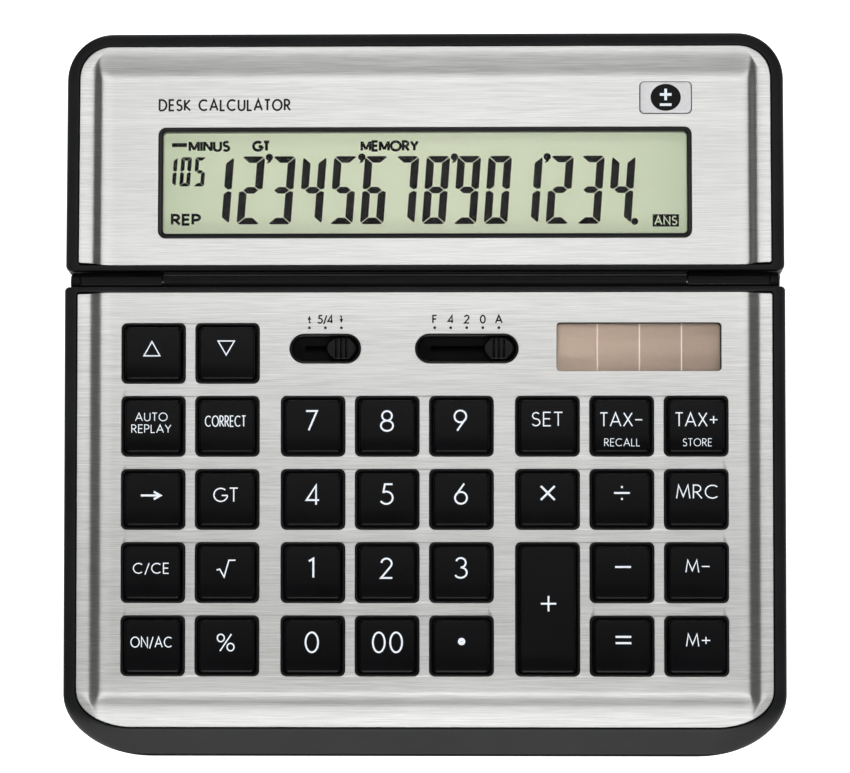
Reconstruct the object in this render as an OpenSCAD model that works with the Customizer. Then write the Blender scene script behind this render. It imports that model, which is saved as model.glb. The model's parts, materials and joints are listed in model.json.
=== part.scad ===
// Two-part desk calculator: a wedge-shaped keypad base and a display housing that tilts on a barrel hinge.
// Millimetres. Origin on the desk, under the middle of the whole object. +X right, +Y away from the user.

/* [Overall] */
// Width over both housings
body_w = 184.8; // [182:0.2:190]
// Height of the keypad deck above the desk, at the hinge
deck_h = 24; // [23.5:0.1:28]
// Slope of the keypad deck
deck_tilt = 5; // [4:0.1:5.4]
// Slope of the closed display
display_tilt = 2.6; // [1:0.1:4]
// How much lower the display's surface lies than the deck, at the hinge
display_step = 2; // [1.5:0.1:2.5]
// Gap between the housings and the desk, filled by the feet
foot_h = 2; // [1.6:0.1:2.2]

/* [Keypad] */
// Distance between key centres, left to right
key_pitch_x = 19; // [18.8:0.1:19.2]
// Extra distance between the groups of keys
group_gap = 3; // [2.8:0.1:3.2]
// Distance between key rows
key_pitch_y = 18.72; // [18.6:0.02:18.8]
// How far a key goes down
key_travel = 1.6; // [1:0.1:1.7]
// Height of a key's top above the faceplate
key_rise = 1.9; // [1.7:0.1:2.5]

/* [Switches] */
// Distance between two positions of a slide switch
detent = 4.11; // [4:0.01:4.2]
// Length of a slide switch's knob
knob_l = 7.8; // [7:0.1:8]

/* [Hinge] */
// Radius of the hinge barrel
barrel_r = 2.6; // [2.4:0.1:2.7]
// Radius of the hinge pins
pin_r = 1.5; // [1.2:0.1:1.6]
// Radial clearance of a pin in the display's barrel
pin_fit = 0.05; // [0.02:0.01:0.1]

/* [Shells] */
// Wall thickness of the moulded housings
wall = 1.8; // [1.6:0.1:2]
// Thickness of the aluminium faceplates
plate_t = 0.8; // [0.7:0.1:1]
// Height of a faceplate's raised rim above its field
rim_rise = 1.4; // [1.2:0.1:1.5]

/* [Hidden] */
half_w = body_w / 2;
// Fine clearance between fixed pieces, and the overlap that joins or cuts solids cleanly
gap = 0.1;
cut = 0.5;

// Hinge axis, measured from the desk
axis_z = deck_h - display_step - barrel_r - 1;
// Keypad faceplate: its near and far edges, measured along the deck from the hinge axis
deck_back = -3.24;
deck_front = -114.39;
// Display faceplate and the housing behind it, measured along the display from the hinge axis
screen_front = 4.14;
screen_back = 60.77;
display_back = 64.2;
// Vertical faces either side of the hinge groove, measured from the axis
base_wall_y = -1.8;
display_wall_y = barrel_r - 0.01;
// Height of the seam between the upper and lower shells
seam_z = 7;
// How far the base's nose stands out beyond the faceplate
nose = 7.2;

// Depths below the deck's top, at right angles to the deck
field_z = -rim_rise;
seat_z = field_z - plate_t;
under_z = seat_z - 1.6;
mat_z = -7.6;
board_z = -8.2;
board_t = 1.2;
ring_top = field_z + 0.35;

front_reach = -deck_front * cos(deck_tilt) + nose;
back_reach = display_back * cos(display_tilt) + 2.78 * sin(display_tilt);
hinge_y = (front_reach - back_reach) / 2;

plate_w = 178;
hole_w = 16.5;
hole_d = 15.55;
ring_w = 0.8;
cap_w = 14.4;
cap_d = 13.4;
row_0 = -18.94;
first_x = -3.5 * key_pitch_x - group_gap;

// Slide switches: middle of the slot, number of positions; each knob rests at its right-hand end
slot_h = 7.6;
slot_y = -17.74;
rounding_x = -25.39;
rounding_positions = 3;
decimal_x = 10.88;
decimal_positions = 5;

solar_x = 54.97;
solar_y = -17.29;
solar_w = 42.1;
solar_d = 12.46;

lcd_y = 25.53;
lcd_w = 137.5;
lcd_d = 28.78;
lcd_ring = 1.2;

badge_x = 62.12;
badge_y = 47.45;

// Half the hinge's middle barrel, the end of the side knuckles, and the end of the hinge's caps
barrel_x = 67.3;
knuckle_x = 88.6;
cap_x = 91.2;
pin_in_x = 58;
pin_out_x = 86;

// Screw places, from the middle of the object
base_screws = [for (x = [-84.5, 84.5], y = [-78, -30, 16]) [x, y]];
display_screw_places = [for (x = [-84.5, 84.5], y = [42, 78]) [x, y]];
base_feet_places = [for (x = [-74, 74], y = [-76, 14]) [x, y]];
display_feet_places = [[-74, 80], [74, 80]];
foot_r = 5;
screw_head_r = 2.6;
screw_r = 1.2;
boss_r = 3.2;

// Button cell and its door in the base's floor
cell_x = 46;
cell_y = 6;
cell_r = 5.8;
cell_h = 5.4;
door_w = 22;
door_d = 18;

// Keys: name, column, row, number of rows it spans
KEYS = [
    ["key_up", 0, 0, 1], ["key_down", 1, 0, 1],
    ["key_auto_replay", 0, 1, 1], ["key_correct", 1, 1, 1],
    ["key_7", 2, 1, 1], ["key_8", 3, 1, 1], ["key_9", 4, 1, 1],
    ["key_set", 5, 1, 1], ["key_tax_minus", 6, 1, 1], ["key_tax_plus", 7, 1, 1],
    ["key_back", 0, 2, 1], ["key_grand_total", 1, 2, 1],
    ["key_4", 2, 2, 1], ["key_5", 3, 2, 1], ["key_6", 4, 2, 1],
    ["key_multiply", 5, 2, 1], ["key_divide", 6, 2, 1], ["key_memory_recall", 7, 2, 1],
    ["key_clear", 0, 3, 1], ["key_square_root", 1, 3, 1],
    ["key_1", 2, 3, 1], ["key_2", 3, 3, 1], ["key_3", 4, 3, 1],
    ["key_plus", 5, 3, 2], ["key_minus", 6, 3, 1], ["key_memory_minus", 7, 3, 1],
    ["key_on", 0, 4, 1], ["key_percent", 1, 4, 1],
    ["key_0", 2, 4, 1], ["key_00", 3, 4, 1], ["key_point", 4, 4, 1],
    ["key_equals", 6, 4, 1], ["key_memory_plus", 7, 4, 1],
];

// ---- places ----

// Children drawn in the deck's frame: origin above the hinge axis, z = 0 at the faceplate's rim
module on_deck() {
    translate([0, hinge_y, deck_h]) rotate([deck_tilt, 0, 0]) children();
}

// Children drawn in the closed display's frame
module on_display() {
    translate([0, hinge_y, deck_h - display_step]) rotate([display_tilt, 0, 0]) children();
}

// Children drawn round the hinge axis, with z running along +X
module on_axis(x) {
    translate([x, hinge_y, axis_z]) rotate([0, 90, 0]) children();
}

module at_places(places) {
    for (p = places) translate([p[0], p[1], 0]) children();
}

function key_x(k) = first_x + k[1] * key_pitch_x + (k[1] > 1 ? group_gap : 0) + (k[1] > 4 ? group_gap : 0);
function key_y(k) = row_0 - (k[2] + (k[3] - 1) / 2) * key_pitch_y;
function key_extra(k) = (k[3] - 1) * key_pitch_y;

// ---- outlines ----

function arc(x, y, rx, ry, start, steps) =
    [for (i = [0:steps]) [x + rx * cos(start + 90 * i / steps), y + ry * sin(start + 90 * i / steps)]];

// Rectangle from y0 to y1 with elliptical corners: fx by fy in front and bx by by behind
function panel_points(w, y0, y1, fx, fy, bx, by, steps) = concat(
    arc(w / 2 - fx, y0 + fy, fx, fy, -90, steps),
    arc(w / 2 - bx, y1 - by, bx, by, 0, steps),
    arc(bx - w / 2, y1 - by, bx, by, 90, steps),
    arc(fx - w / 2, y0 + fy, fx, fy, 180, steps)
);

module panel(w, y0, y1, front, back, steps = 14) {
    polygon(panel_points(w, y0, y1, front[0], front[1], back[0], back[1], steps));
}

module rounded(w, d, r) {
    polygon(panel_points(w, -d / 2, d / 2, r, r, r, r, 4));
}

module stadium(l, d) {
    union() {
        square([l - d, d], center = true);
        for (s = [-1, 1]) translate([s * (l - d) / 2, 0]) circle(d = d, $fn = 48);
    }
}

module slab(z0, z1) {
    translate([0, 0, z0]) linear_extrude(z1 - z0) children();
}

module layer(z) {
    slab(z - 0.01, z) children();
}

module block(x0, x1, y0, y1, z0, z1) {
    translate([x0, y0, z0]) cube([x1 - x0, y1 - y0, z1 - z0]);
}

// ---- shells ----

// Outline of the base, drawn in at its sides and nose by inset
module base_outline(inset, nose_out, y_shift = 0) {
    panel(body_w - 2 * inset, deck_front - nose_out + y_shift, 2,
        [22.5 - inset, 15.3 - inset], [1, 1]);
}

module base_outline_flat(inset, nose_in) {
    translate([0, hinge_y])
        panel(body_w - 2 * inset, nose_in - front_reach, 2, [22.5 - inset, 15.3 - inset], [1, 1]);
}

// Everything in front of the hinge groove
module base_side() {
    intersection() {
        children();
        block(-half_w, half_w, -150, hinge_y + base_wall_y, 0, 60);
    }
}

module base_upper_form() {
    base_side() hull() {
        on_deck() layer(-0.1) base_outline(3.1, 0.6);
        on_deck() layer(-0.5) base_outline(2, 1.4);
        on_deck() layer(-1.5) base_outline(0.7, 2.9);
        on_deck() layer(-2.8) base_outline(0.1, 4.3);
        translate([0, 0, seam_z + 1]) slab(0, 0.01) base_outline_flat(0, 0.1);
        layer(seam_z + 0.01) base_outline_flat(0, 0);
    }
}

module base_upper_cavity() {
    intersection() {
        hull() {
            on_deck() layer(under_z) base_outline(wall + 1.2, 1);
            layer(seam_z - 1) base_outline_flat(wall, wall);
        }
        block(-half_w, half_w, -150, hinge_y + base_wall_y - wall, 0, 60);
    }
}

module base_lower_form() {
    base_side() hull() {
        layer(seam_z) base_outline_flat(0, 0);
        layer(foot_h + 2) base_outline_flat(0.4, 0.5);
        slab(foot_h, foot_h + 0.01) base_outline_flat(2, 2.2);
    }
}

module base_lower_cavity() {
    intersection() {
        slab(foot_h + wall, seam_z + 1) base_outline_flat(wall + 0.4, wall + 0.5);
        block(-half_w, half_w, -150, hinge_y + base_wall_y - wall, 0, 60);
    }
}

// Outline of the display housing, drawn in by inset
module display_outline(inset) {
    panel(body_w - 2 * inset, 0, display_back - inset, [1, 1], [12 - inset, 12 - inset], 8);
}

module display_outline_flat(inset, steps = 8) {
    translate([0, hinge_y])
        panel(body_w - 2 * inset, 0, back_reach - inset, [1, 1], [12 - inset, 12 - inset], steps);
}

module display_side() {
    intersection() {
        children();
        block(-half_w, half_w, hinge_y + display_wall_y, 150, 0, 60);
    }
}

module display_upper_form() {
    display_side() hull() {
        on_display() layer(-0.1) display_outline(3.1);
        on_display() layer(-0.5) display_outline(2);
        on_display() layer(-1.4) display_outline(0.8);
        on_display() layer(-2.8) display_outline(0.05);
        layer(seam_z + 1.01) display_outline_flat(0);
        layer(seam_z + 0.01) display_outline_flat(0);
    }
}

module display_upper_cavity() {
    intersection() {
        hull() {
            on_display() layer(under_z) display_outline(wall + 0.8);
            layer(seam_z - 1) display_outline_flat(wall);
        }
        block(-half_w, half_w, hinge_y + display_wall_y + wall, 150, 0, 60);
    }
}

module display_lower_form() {
    display_side() hull() {
        layer(seam_z) display_outline_flat(0, 14);
        layer(foot_h + 2) display_outline_flat(0.5, 14);
        slab(foot_h, foot_h + 0.01) display_outline_flat(2.2, 14);
    }
}

module display_lower_cavity() {
    intersection() {
        slab(foot_h + wall, seam_z + 1) display_outline_flat(wall + 0.5);
        block(-half_w, half_w, hinge_y + display_wall_y + wall, 150, 0, 60);
    }
}

// ---- faceplates ----

// A pressed plate: raised rim on three sides, and a lower field that runs out over the open side
module pressed_plate(y0, y1, outer_front, outer_back, front_rim, back_rim) {
    difference() {
        slab(seat_z, 0) panel(plate_w, y0, y1, outer_front, outer_back);
        hull() {
            layer(0.01) panel(171.8, y0 + front_rim[0], y1 - back_rim[0], [10, 7], [8, 7]);
            slab(field_z, field_z + 0.01)
                panel(164.8, y0 + front_rim[1], y1 - back_rim[1], [7, 5], [6, 5]);
        }
        difference() {
            slab(seat_z - cut, seat_z + rim_rise - gap) square([plate_w + 2, 400], center = true);
            slab(seat_z - 1, 0) panel(171.4, y0 + front_rim[0] + 0.2, y1 - back_rim[0] - 0.2, [10, 7], [8, 7]);
        }
    }
}

// Recess in a housing that takes a pressed plate
module plate_recess(y0, y1, outer_front, outer_back, front_rim, back_rim) {
    slab(seat_z + rim_rise - gap, 2) panel(plate_w + 0.2, y0 - gap, y1 + gap, outer_front, outer_back);
    slab(seat_z, 2) panel(171.6, y0 + front_rim[0] + gap, y1 - back_rim[0] - gap, [10, 7], [8, 7]);
}

// The keypad's plate is open at the hinge, and so is the display's
keypad_rim = [[14.3, 9.2], [0.5, 0.5], [4.1, 8.2], [-10, -10]];
display_rim = [[0.5, 0.5], [8.2, 8.2], [-10, -10], [2, 8.5]];

module each_key() {
    for (k = KEYS) translate([key_x(k), key_y(k), 0]) {
        $extra = key_extra(k);
        children();
    }
}

module each_slot() {
    translate([rounding_x, slot_y, 0]) {
        $slot_l = slot_length(rounding_positions);
        children();
    }
    translate([decimal_x, slot_y, 0]) {
        $slot_l = slot_length(decimal_positions);
        children();
    }
}

function slot_length(positions) = knob_l + detent * (positions - 1) + 2.3;

module keypad_plate() {
    color([0.84, 0.84, 0.82]) on_deck() difference() {
        pressed_plate(deck_front, deck_back, keypad_rim[0], keypad_rim[1], keypad_rim[2], keypad_rim[3]);
        each_key() slab(seat_z - 1, 2) rounded(hole_w, hole_d + $extra, 1.5);
        each_slot() slab(seat_z - 1, 2) stadium($slot_l, slot_h);
        translate([solar_x, solar_y, 0]) slab(seat_z - 1, 2) rounded(solar_w, solar_d, 1);
    }
}

module display_plate() {
    color([0.86, 0.86, 0.84]) on_display() difference() {
        pressed_plate(screen_front, screen_back, display_rim[0], display_rim[1], display_rim[2], display_rim[3]);
        translate([0, lcd_y, 0]) slab(seat_z - 1, 2) rounded(lcd_w, lcd_d, 2);
    }
}

// ---- base ----

module bottom_case() {
    color([0.1, 0.1, 0.105]) difference() {
        union() {
            difference() {
                base_lower_form();
                base_lower_cavity();
            }
            at_places(base_screws) translate([0, 0, foot_h]) cylinder(r = 3.9, h = 6.6, $fn = 48);
            board_rests();
            cell_wall();
        }
        at_places(base_screws) {
            translate([0, 0, foot_h - 1]) cylinder(r = screw_head_r + 0.3, h = 5, $fn = 48);
            translate([0, 0, foot_h - 1]) cylinder(r = screw_r + 0.3, h = 12, $fn = 32);
        }
        at_places(base_feet_places)
            translate([0, 0, foot_h - 1]) cylinder(r = foot_r + gap, h = 1.6, $fn = 48);
        translate([cell_x, cell_y, 0]) {
            slab(0, foot_h + 0.9) rounded(door_w + 0.4, door_d + 0.4, 2);
            slab(0, foot_h + 10) rounded(door_w - 3, door_d - 3, 2);
        }
    }
}

// Four posts that the board lies on, cut off along the board's underside
module board_rests() {
    difference() {
        for (x = [-60, 60], y = [-70, -6])
            translate([x, y, foot_h]) cylinder(r = 2, h = 14, $fn = 32);
        on_deck() block(-100, 100, -130, 10, board_z - board_t - 0.02, 20);
    }
}

// Box round the cell, over the opening that the door closes
module cell_wall() {
    translate([cell_x, cell_y, 0]) slab(foot_h, foot_h + 6.4) rounded(door_w - 0.6, door_d - 0.6, 2.4);
}

module keypad_housing() {
    color([0.08, 0.08, 0.085]) difference() {
        union() {
            difference() {
                base_upper_form();
                base_upper_cavity();
                on_deck() plate_recess(deck_front, deck_back,
                    keypad_rim[0], keypad_rim[1], keypad_rim[2], keypad_rim[3]);
            }
            on_deck() {
                each_key() slab(under_z, ring_top) rounded(hole_w - 0.1, hole_d - 0.1 + $extra, 1.45);
                each_slot() slab(under_z - 0.6, ring_top) stadium($slot_l - 0.1, slot_h - 0.1);
                board_clamps();
            }
            housing_bosses();
            for (s = [0, 1]) mirror([s, 0, 0])
                on_axis(barrel_x + 0.2) cylinder(r = barrel_r, h = knuckle_x - barrel_x - 0.2, $fn = 64);
        }
        on_deck() {
            each_key() slab(under_z - 2, 2)
                rounded(hole_w - 2 * ring_w, hole_d - 2 * ring_w + $extra, 0.9);
            each_slot() slab(under_z + 0.4, 2) stadium($slot_l - 1.5, slot_h - 1.5);
            each_slot() slab(under_z - 2, 2) square([$slot_l - knob_l + 1.2, 2.2], center = true);
            translate([solar_x, solar_y, 0]) slab(under_z - 1, 2) rounded(solar_w, solar_d, 1);
        }
        // Groove that the display's barrel turns in, and the side knuckles' bores
        on_axis(-barrel_x - 0.2) cylinder(r = barrel_r + 0.3, h = 2 * barrel_x + 0.4, $fn = 64);
        for (s = [0, 1]) mirror([s, 0, 0]) on_axis(barrel_x - 1) cylinder(r = pin_r, h = 30, $fn = 48);
        // Hole that leads the display's cable out of the base into the left-hand knuckle
        translate([-pin_out_x - 0.9, hinge_y, axis_z]) rotate([90, 0, 0]) cylinder(r = 0.8, h = 6, $fn = 32);
        at_places(base_screws) translate([0, 0, foot_h + 6]) cylinder(r = screw_r, h = 4, $fn = 32);
        // Room beyond the knuckles for their caps
        for (s = [0, 1]) mirror([s, 0, 0]) on_axis(knuckle_x) cylinder(r = barrel_r + 0.3, h = 6, $fn = 64);
    }
}

// Posts that press the board down, in the gaps between the groups of keys
module board_clamps() {
    for (x = [(key_x(KEYS[3]) + key_x(KEYS[4])) / 2, (key_x(KEYS[6]) + key_x(KEYS[7])) / 2], r = [1.5, 3.5])
        translate([x, row_0 - r * key_pitch_y, mat_z + 0.02]) cylinder(r = 1.6, h = 5, $fn = 32);
}

// Bosses that take the case screws; their tops end inside the sloping deck
module housing_bosses() {
    intersection() {
        at_places(base_screws) translate([0, 0, foot_h + 6.62]) cylinder(r = boss_r, h = 20, $fn = 48);
        on_deck() block(-100, 100, -130, 10, -40, under_z + 0.5);
    }
}

module main_board() {
    color([0.12, 0.36, 0.2]) on_deck() difference() {
        slab(board_z - board_t, board_z) translate([0, -57]) square([154, 98], center = true);
        for (x = [-70, 70], y = [-102, -12])
            translate([x, y, board_z - 3]) cylinder(r = 1.6, h = 5, $fn = 32);
    }
}

// Rubber sheet with a collapsing dome under each key, two under the tall one
module dome_mat() {
    color([0.75, 0.75, 0.72]) on_deck() {
        slab(board_z, mat_z) translate([0, -62.2]) square([152, 83.6], center = true);
        slab(board_z, mat_z) translate([-60, -19]) square([32, 8], center = true);
        each_key() for (s = $extra > 0 ? [-1, 1] : [0])
            translate([0, s * $extra / 2, mat_z - 0.05])
                cylinder(r1 = 4.2, r2 = 2.6, h = key_travel + 0.35, $fn = 48);
    }
}

module solar_panel() {
    color([0.7, 0.6, 0.54]) on_deck() translate([solar_x, solar_y, 0])
        slab(under_z - 0.95, under_z - 0.05) square([solar_w + 3, solar_d + 3], center = true);
}

module solar_window() {
    color([0.8, 0.7, 0.64]) on_deck() translate([solar_x, solar_y, 0])
        slab(under_z, field_z - 0.35) rounded(solar_w - 0.2, solar_d - 0.2, 0.9);
}

module battery_cover() {
    color([0.12, 0.12, 0.125]) translate([cell_x, cell_y, 0]) {
        slab(foot_h, foot_h + 0.85) rounded(door_w, door_d, 1.8);
        // Grip ribs on the outside of the door
        for (i = [-2:2]) translate([0, i * 1.6 - 4, 0])
            slab(foot_h - 0.4, foot_h + 0.1) stadium(10, 0.8);
        slab(foot_h + 0.8, foot_h + 1.6) rounded(door_w - 3.4, door_d - 3.4, 1.6);
    }
}

module button_cell() {
    color([0.75, 0.75, 0.77]) translate([cell_x, cell_y, foot_h + 2]) {
        cylinder(r = cell_r, h = cell_h - 0.7, $fn = 64);
        cylinder(r = cell_r - 1.3, h = cell_h, $fn = 64);
    }
}

// A flat contact under the cell and a spring strip on top of it
module battery_contacts() {
    color([0.8, 0.75, 0.6]) {
        translate([cell_x, cell_y, foot_h + 1.65]) cylinder(r = cell_r - 1.5, h = 0.3, $fn = 48);
        block(cell_x - 12, cell_x + 3, cell_y - 1.5, cell_y + 1.5, foot_h + 2.05 + cell_h, foot_h + 2.35 + cell_h);
        block(cell_x - 12, cell_x - 11.7, cell_y - 1.5, cell_y + 1.5, foot_h + wall, foot_h + 2.35 + cell_h);
    }
}

module feet(places) {
    at_places(places) {
        cylinder(r1 = foot_r - 0.6, r2 = foot_r, h = 0.6, $fn = 48);
        translate([0, 0, 0.6]) cylinder(r = foot_r, h = foot_h, $fn = 48);
    }
}

module base_feet() {
    color([0.16, 0.16, 0.16]) feet(base_feet_places);
}

// Pan-head screw with a cross slot, head down
module screw(shank) {
    difference() {
        union() {
            cylinder(r1 = screw_head_r - 0.5, r2 = screw_head_r, h = 0.6, $fn = 48);
            translate([0, 0, 0.6]) cylinder(r = screw_head_r, h = 1, $fn = 48);
            translate([0, 0, 1.5]) cylinder(r = screw_r, h = shank, $fn = 32);
        }
        for (a = [0, 90]) rotate([0, 0, a]) block(-1.5, 1.5, -0.3, 0.3, -1, 0.9);
    }
}

module case_screws() {
    color([0.35, 0.35, 0.37]) at_places(base_screws) translate([0, 0, foot_h + 2.4]) screw(5.9);
}

module hinge_pins() {
    color([0.7, 0.7, 0.72]) for (s = [0, 1]) mirror([s, 0, 0]) on_axis(pin_in_x) difference() {
        cylinder(r = pin_r, h = pin_out_x - pin_in_x, $fn = 48);
        translate([0, 0, -1]) cylinder(r = 0.8, h = 40, $fn = 32);
    }
}

module hinge_caps() {
    color([0.09, 0.09, 0.095]) for (s = [0, 1]) mirror([s, 0, 0]) {
        on_axis(knuckle_x) cylinder(r = barrel_r, h = cap_x - knuckle_x - 0.5, $fn = 64);
        on_axis(cap_x - 0.5) cylinder(r1 = barrel_r, r2 = barrel_r - 0.4, h = 0.5, $fn = 64);
        on_axis(knuckle_x - 0.9) cylinder(r = pin_r, h = 1, $fn = 48);
    }
}

// Switch bodies on the board, each with a channel for its knob's stem
module switch_bodies() {
    color([0.6, 0.6, 0.62]) on_deck() each_slot() difference() {
        slab(board_z, board_z + 2.4) square([$slot_l - 1, 4.6], center = true);
        slab(board_z + 0.6, board_z + 3) square([$slot_l - knob_l + 1.2, 1.9], center = true);
    }
}

// Cable from the base, through the left-hand pin and into the barrel's bore, clear of everything that turns
module display_cable() {
    r = 0.5;
    x0 = -pin_out_x - 0.9;
    x1 = -50;
    color([0.15, 0.15, 0.15]) {
        translate([x0, hinge_y, axis_z]) rotate([90, 0, 0]) cylinder(r = r, h = 9, $fn = 24);
        on_axis(x0) cylinder(r = r, h = x1 - x0, $fn = 24);
        translate([x0, hinge_y, axis_z]) sphere(r = r, $fn = 24);
    }
}

// ---- slide switch knobs ----

// Knob with three grip grooves and a stem that reaches the switch body
module knob(x, positions) {
    on_deck() translate([x + detent * (positions - 1) / 2, slot_y, 0]) {
        difference() {
            slab(under_z + 0.6, field_z + 1) stadium(knob_l, slot_h - 2.1);
            for (i = [-1:1]) translate([i * 1.3, 0, 0])
                slab(field_z + 0.6, field_z + 2) square([0.5, slot_h], center = true);
        }
        slab(board_z + 0.8, under_z + 0.7) square([2, 1.4], center = true);
    }
}

module rounding_knob() {
    color([0.1, 0.1, 0.105]) knob(rounding_x, rounding_positions);
}

module decimal_knob() {
    color([0.1, 0.1, 0.105]) knob(decimal_x, decimal_positions);
}

// ---- keys ----

// Side outline of a cap: the top has a crease, in front of which it slopes down to the user
function cap_side(d) = [
    [-d / 2, under_z - 0.7], [d / 2, under_z - 0.7], [d / 2, cap_z - 0.7], [d / 2 - 0.5, cap_z],
    [2.5 - hole_d / 2 + 3 - (d - cap_d) / 2, cap_z], [-d / 2 + 0.5, cap_z - 0.3], [-d / 2, cap_z - 0.9],
];
cap_z = field_z + key_rise;
stem_z = mat_z + key_travel + 0.4;

// Hollow cap with a bevelled top, a flange that keeps it under the deck, and a stem for each dome
module key(k) {
    extra = key_extra(k);
    d = cap_d + extra;
    color([0.09, 0.09, 0.1]) on_deck() translate([key_x(k), key_y(k), 0]) {
        difference() {
            union() {
                intersection() {
                    slab(under_z - 0.6, cap_z + 1) rounded(cap_w, d, 1.1);
                    rotate([90, 0, 90]) slab(-cap_w, cap_w) polygon(cap_side(d));
                    rotate([90, 0, 0]) slab(-d, d) polygon([
                        [-cap_w / 2, under_z - 1], [cap_w / 2, under_z - 1], [cap_w / 2, cap_z - 0.8],
                        [cap_w / 2 - 0.6, cap_z], [0.6 - cap_w / 2, cap_z], [-cap_w / 2, cap_z - 0.8],
                    ]);
                }
                slab(under_z - 0.8, under_z - 0.2) rounded(cap_w + 2, d + 2, 1.6);
            }
            slab(under_z - 2, cap_z - 1.4) rounded(cap_w - 2.4, d - 2.4, 0.6);
        }
        for (s = extra > 0 ? [-1, 1] : [0])
            translate([0, s * extra / 2, stem_z]) cylinder(r = 2, h = cap_z - 1.3 - stem_z, $fn = 32);
    }
}

// ---- display ----

module display_housing() {
    color([0.08, 0.08, 0.085]) difference() {
        union() {
            difference() {
                display_upper_form();
                display_upper_cavity();
                on_display() plate_recess(screen_front, screen_back,
                    display_rim[0], display_rim[1], display_rim[2], display_rim[3]);
            }
            on_display() translate([0, lcd_y, 0])
                slab(under_z, ring_top) rounded(lcd_w - 0.2, lcd_d - 0.2, 1.9);
            display_bosses();
            // Barrel between the side knuckles, and the web that joins it to the housing's front wall
            on_axis(-barrel_x) cylinder(r = barrel_r, h = 2 * barrel_x, $fn = 64);
            block(-barrel_x, barrel_x, hinge_y + 1.4, hinge_y + display_wall_y + 0.5, axis_z - 1.6, axis_z + 1.6);
        }
        on_display() translate([0, lcd_y, 0]) {
            slab(under_z - 1, 2) rounded(lcd_w - 2 * lcd_ring - 0.2, lcd_d - 2 * lcd_ring - 0.2, 1);
            slab(under_z - 1, field_z - 1.3) square([lcd_w - 1.5, lcd_d - 1.5], center = true);
        }
        for (s = [0, 1]) mirror([s, 0, 0]) {
            on_axis(barrel_x - 20) cylinder(r = pin_r + pin_fit, h = 21, $fn = 48);
            on_axis(barrel_x) cylinder(r = barrel_r + 0.3, h = 30, $fn = 64);
        }
        // Hole that leads the cable from the barrel into the housing
        translate([-52, hinge_y, axis_z]) rotate([-90, 0, 0]) cylinder(r = 0.8, h = 8, $fn = 32);
    }
}

module display_bosses() {
    intersection() {
        at_places(display_screw_places) difference() {
            translate([0, 0, foot_h + 6.62]) cylinder(r = boss_r, h = 20, $fn = 48);
            translate([0, 0, foot_h + 6]) cylinder(r = screw_r, h = 4, $fn = 32);
        }
        on_display() block(-100, 100, 0, 90, -40, under_z + 0.5);
    }
}

module display_rear() {
    color([0.1, 0.1, 0.105]) difference() {
        union() {
            difference() {
                display_lower_form();
                display_lower_cavity();
            }
            at_places(display_screw_places) translate([0, 0, foot_h]) cylinder(r = 3.9, h = 6.6, $fn = 48);
        }
        at_places(display_screw_places) {
            translate([0, 0, foot_h - 1]) cylinder(r = screw_head_r + 0.3, h = 5, $fn = 48);
            translate([0, 0, foot_h - 1]) cylinder(r = screw_r + 0.3, h = 12, $fn = 32);
        }
        at_places(display_feet_places)
            translate([0, 0, foot_h - 1]) cylinder(r = foot_r + gap, h = 1.6, $fn = 48);
    }
}

module lcd_window() {
    color([0.78, 0.83, 0.72]) on_display() translate([0, lcd_y, 0])
        slab(field_z - 1.3, field_z - 0.1)
            rounded(lcd_w - 2 * lcd_ring - 0.4, lcd_d - 2 * lcd_ring - 0.4, 0.9);
}

module lcd_panel() {
    color([0.75, 0.8, 0.7]) on_display() translate([0, lcd_y, 0])
        slab(field_z - 3.6, field_z - 1.4) square([lcd_w - 1.7, lcd_d - 1.7], center = true);
}

module display_board() {
    color([0.12, 0.36, 0.2]) on_display() translate([0, lcd_y, 0]) {
        slab(field_z - 4.9, field_z - 3.7) square([lcd_w + 4, lcd_d + 4], center = true);
        // Driver chip under its drop of resin
        translate([10, 0, field_z - 6]) cylinder(r1 = 3, r2 = 5, h = 1.15, $fn = 48);
    }
}

module badge() {
    color([0.75, 0.75, 0.76]) on_display() translate([badge_x, badge_y, 0])
        slab(field_z, field_z + 0.5) rounded(13.4, 8.3, 0.7);
}

module display_screws() {
    color([0.35, 0.35, 0.37]) at_places(display_screw_places) translate([0, 0, foot_h + 2.4]) screw(5.9);
}

module display_feet() {
    color([0.16, 0.16, 0.16]) feet(display_feet_places);
}

bottom_case();
keypad_housing();
keypad_plate();
main_board();
dome_mat();
solar_panel();
solar_window();
battery_cover();
button_cell();
battery_contacts();
base_feet();
case_screws();
hinge_pins();
hinge_caps();
switch_bodies();
display_cable();
rounding_knob();
decimal_knob();
display_housing();
display_rear();
display_plate();
lcd_window();
lcd_panel();
display_board();
badge();
display_screws();
display_feet();
for (k = KEYS) key(k);
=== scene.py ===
"""Desk calculator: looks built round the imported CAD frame.

Shapes are drawn in millimetres in the two tilted faces (the keypad deck and the closed display),
with z = 0 at the faceplate's rim, and are turned into the row's frame in metres.
"""

import json
import math

import bmesh
import bpy
from mathutils import Matrix, Vector


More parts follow.
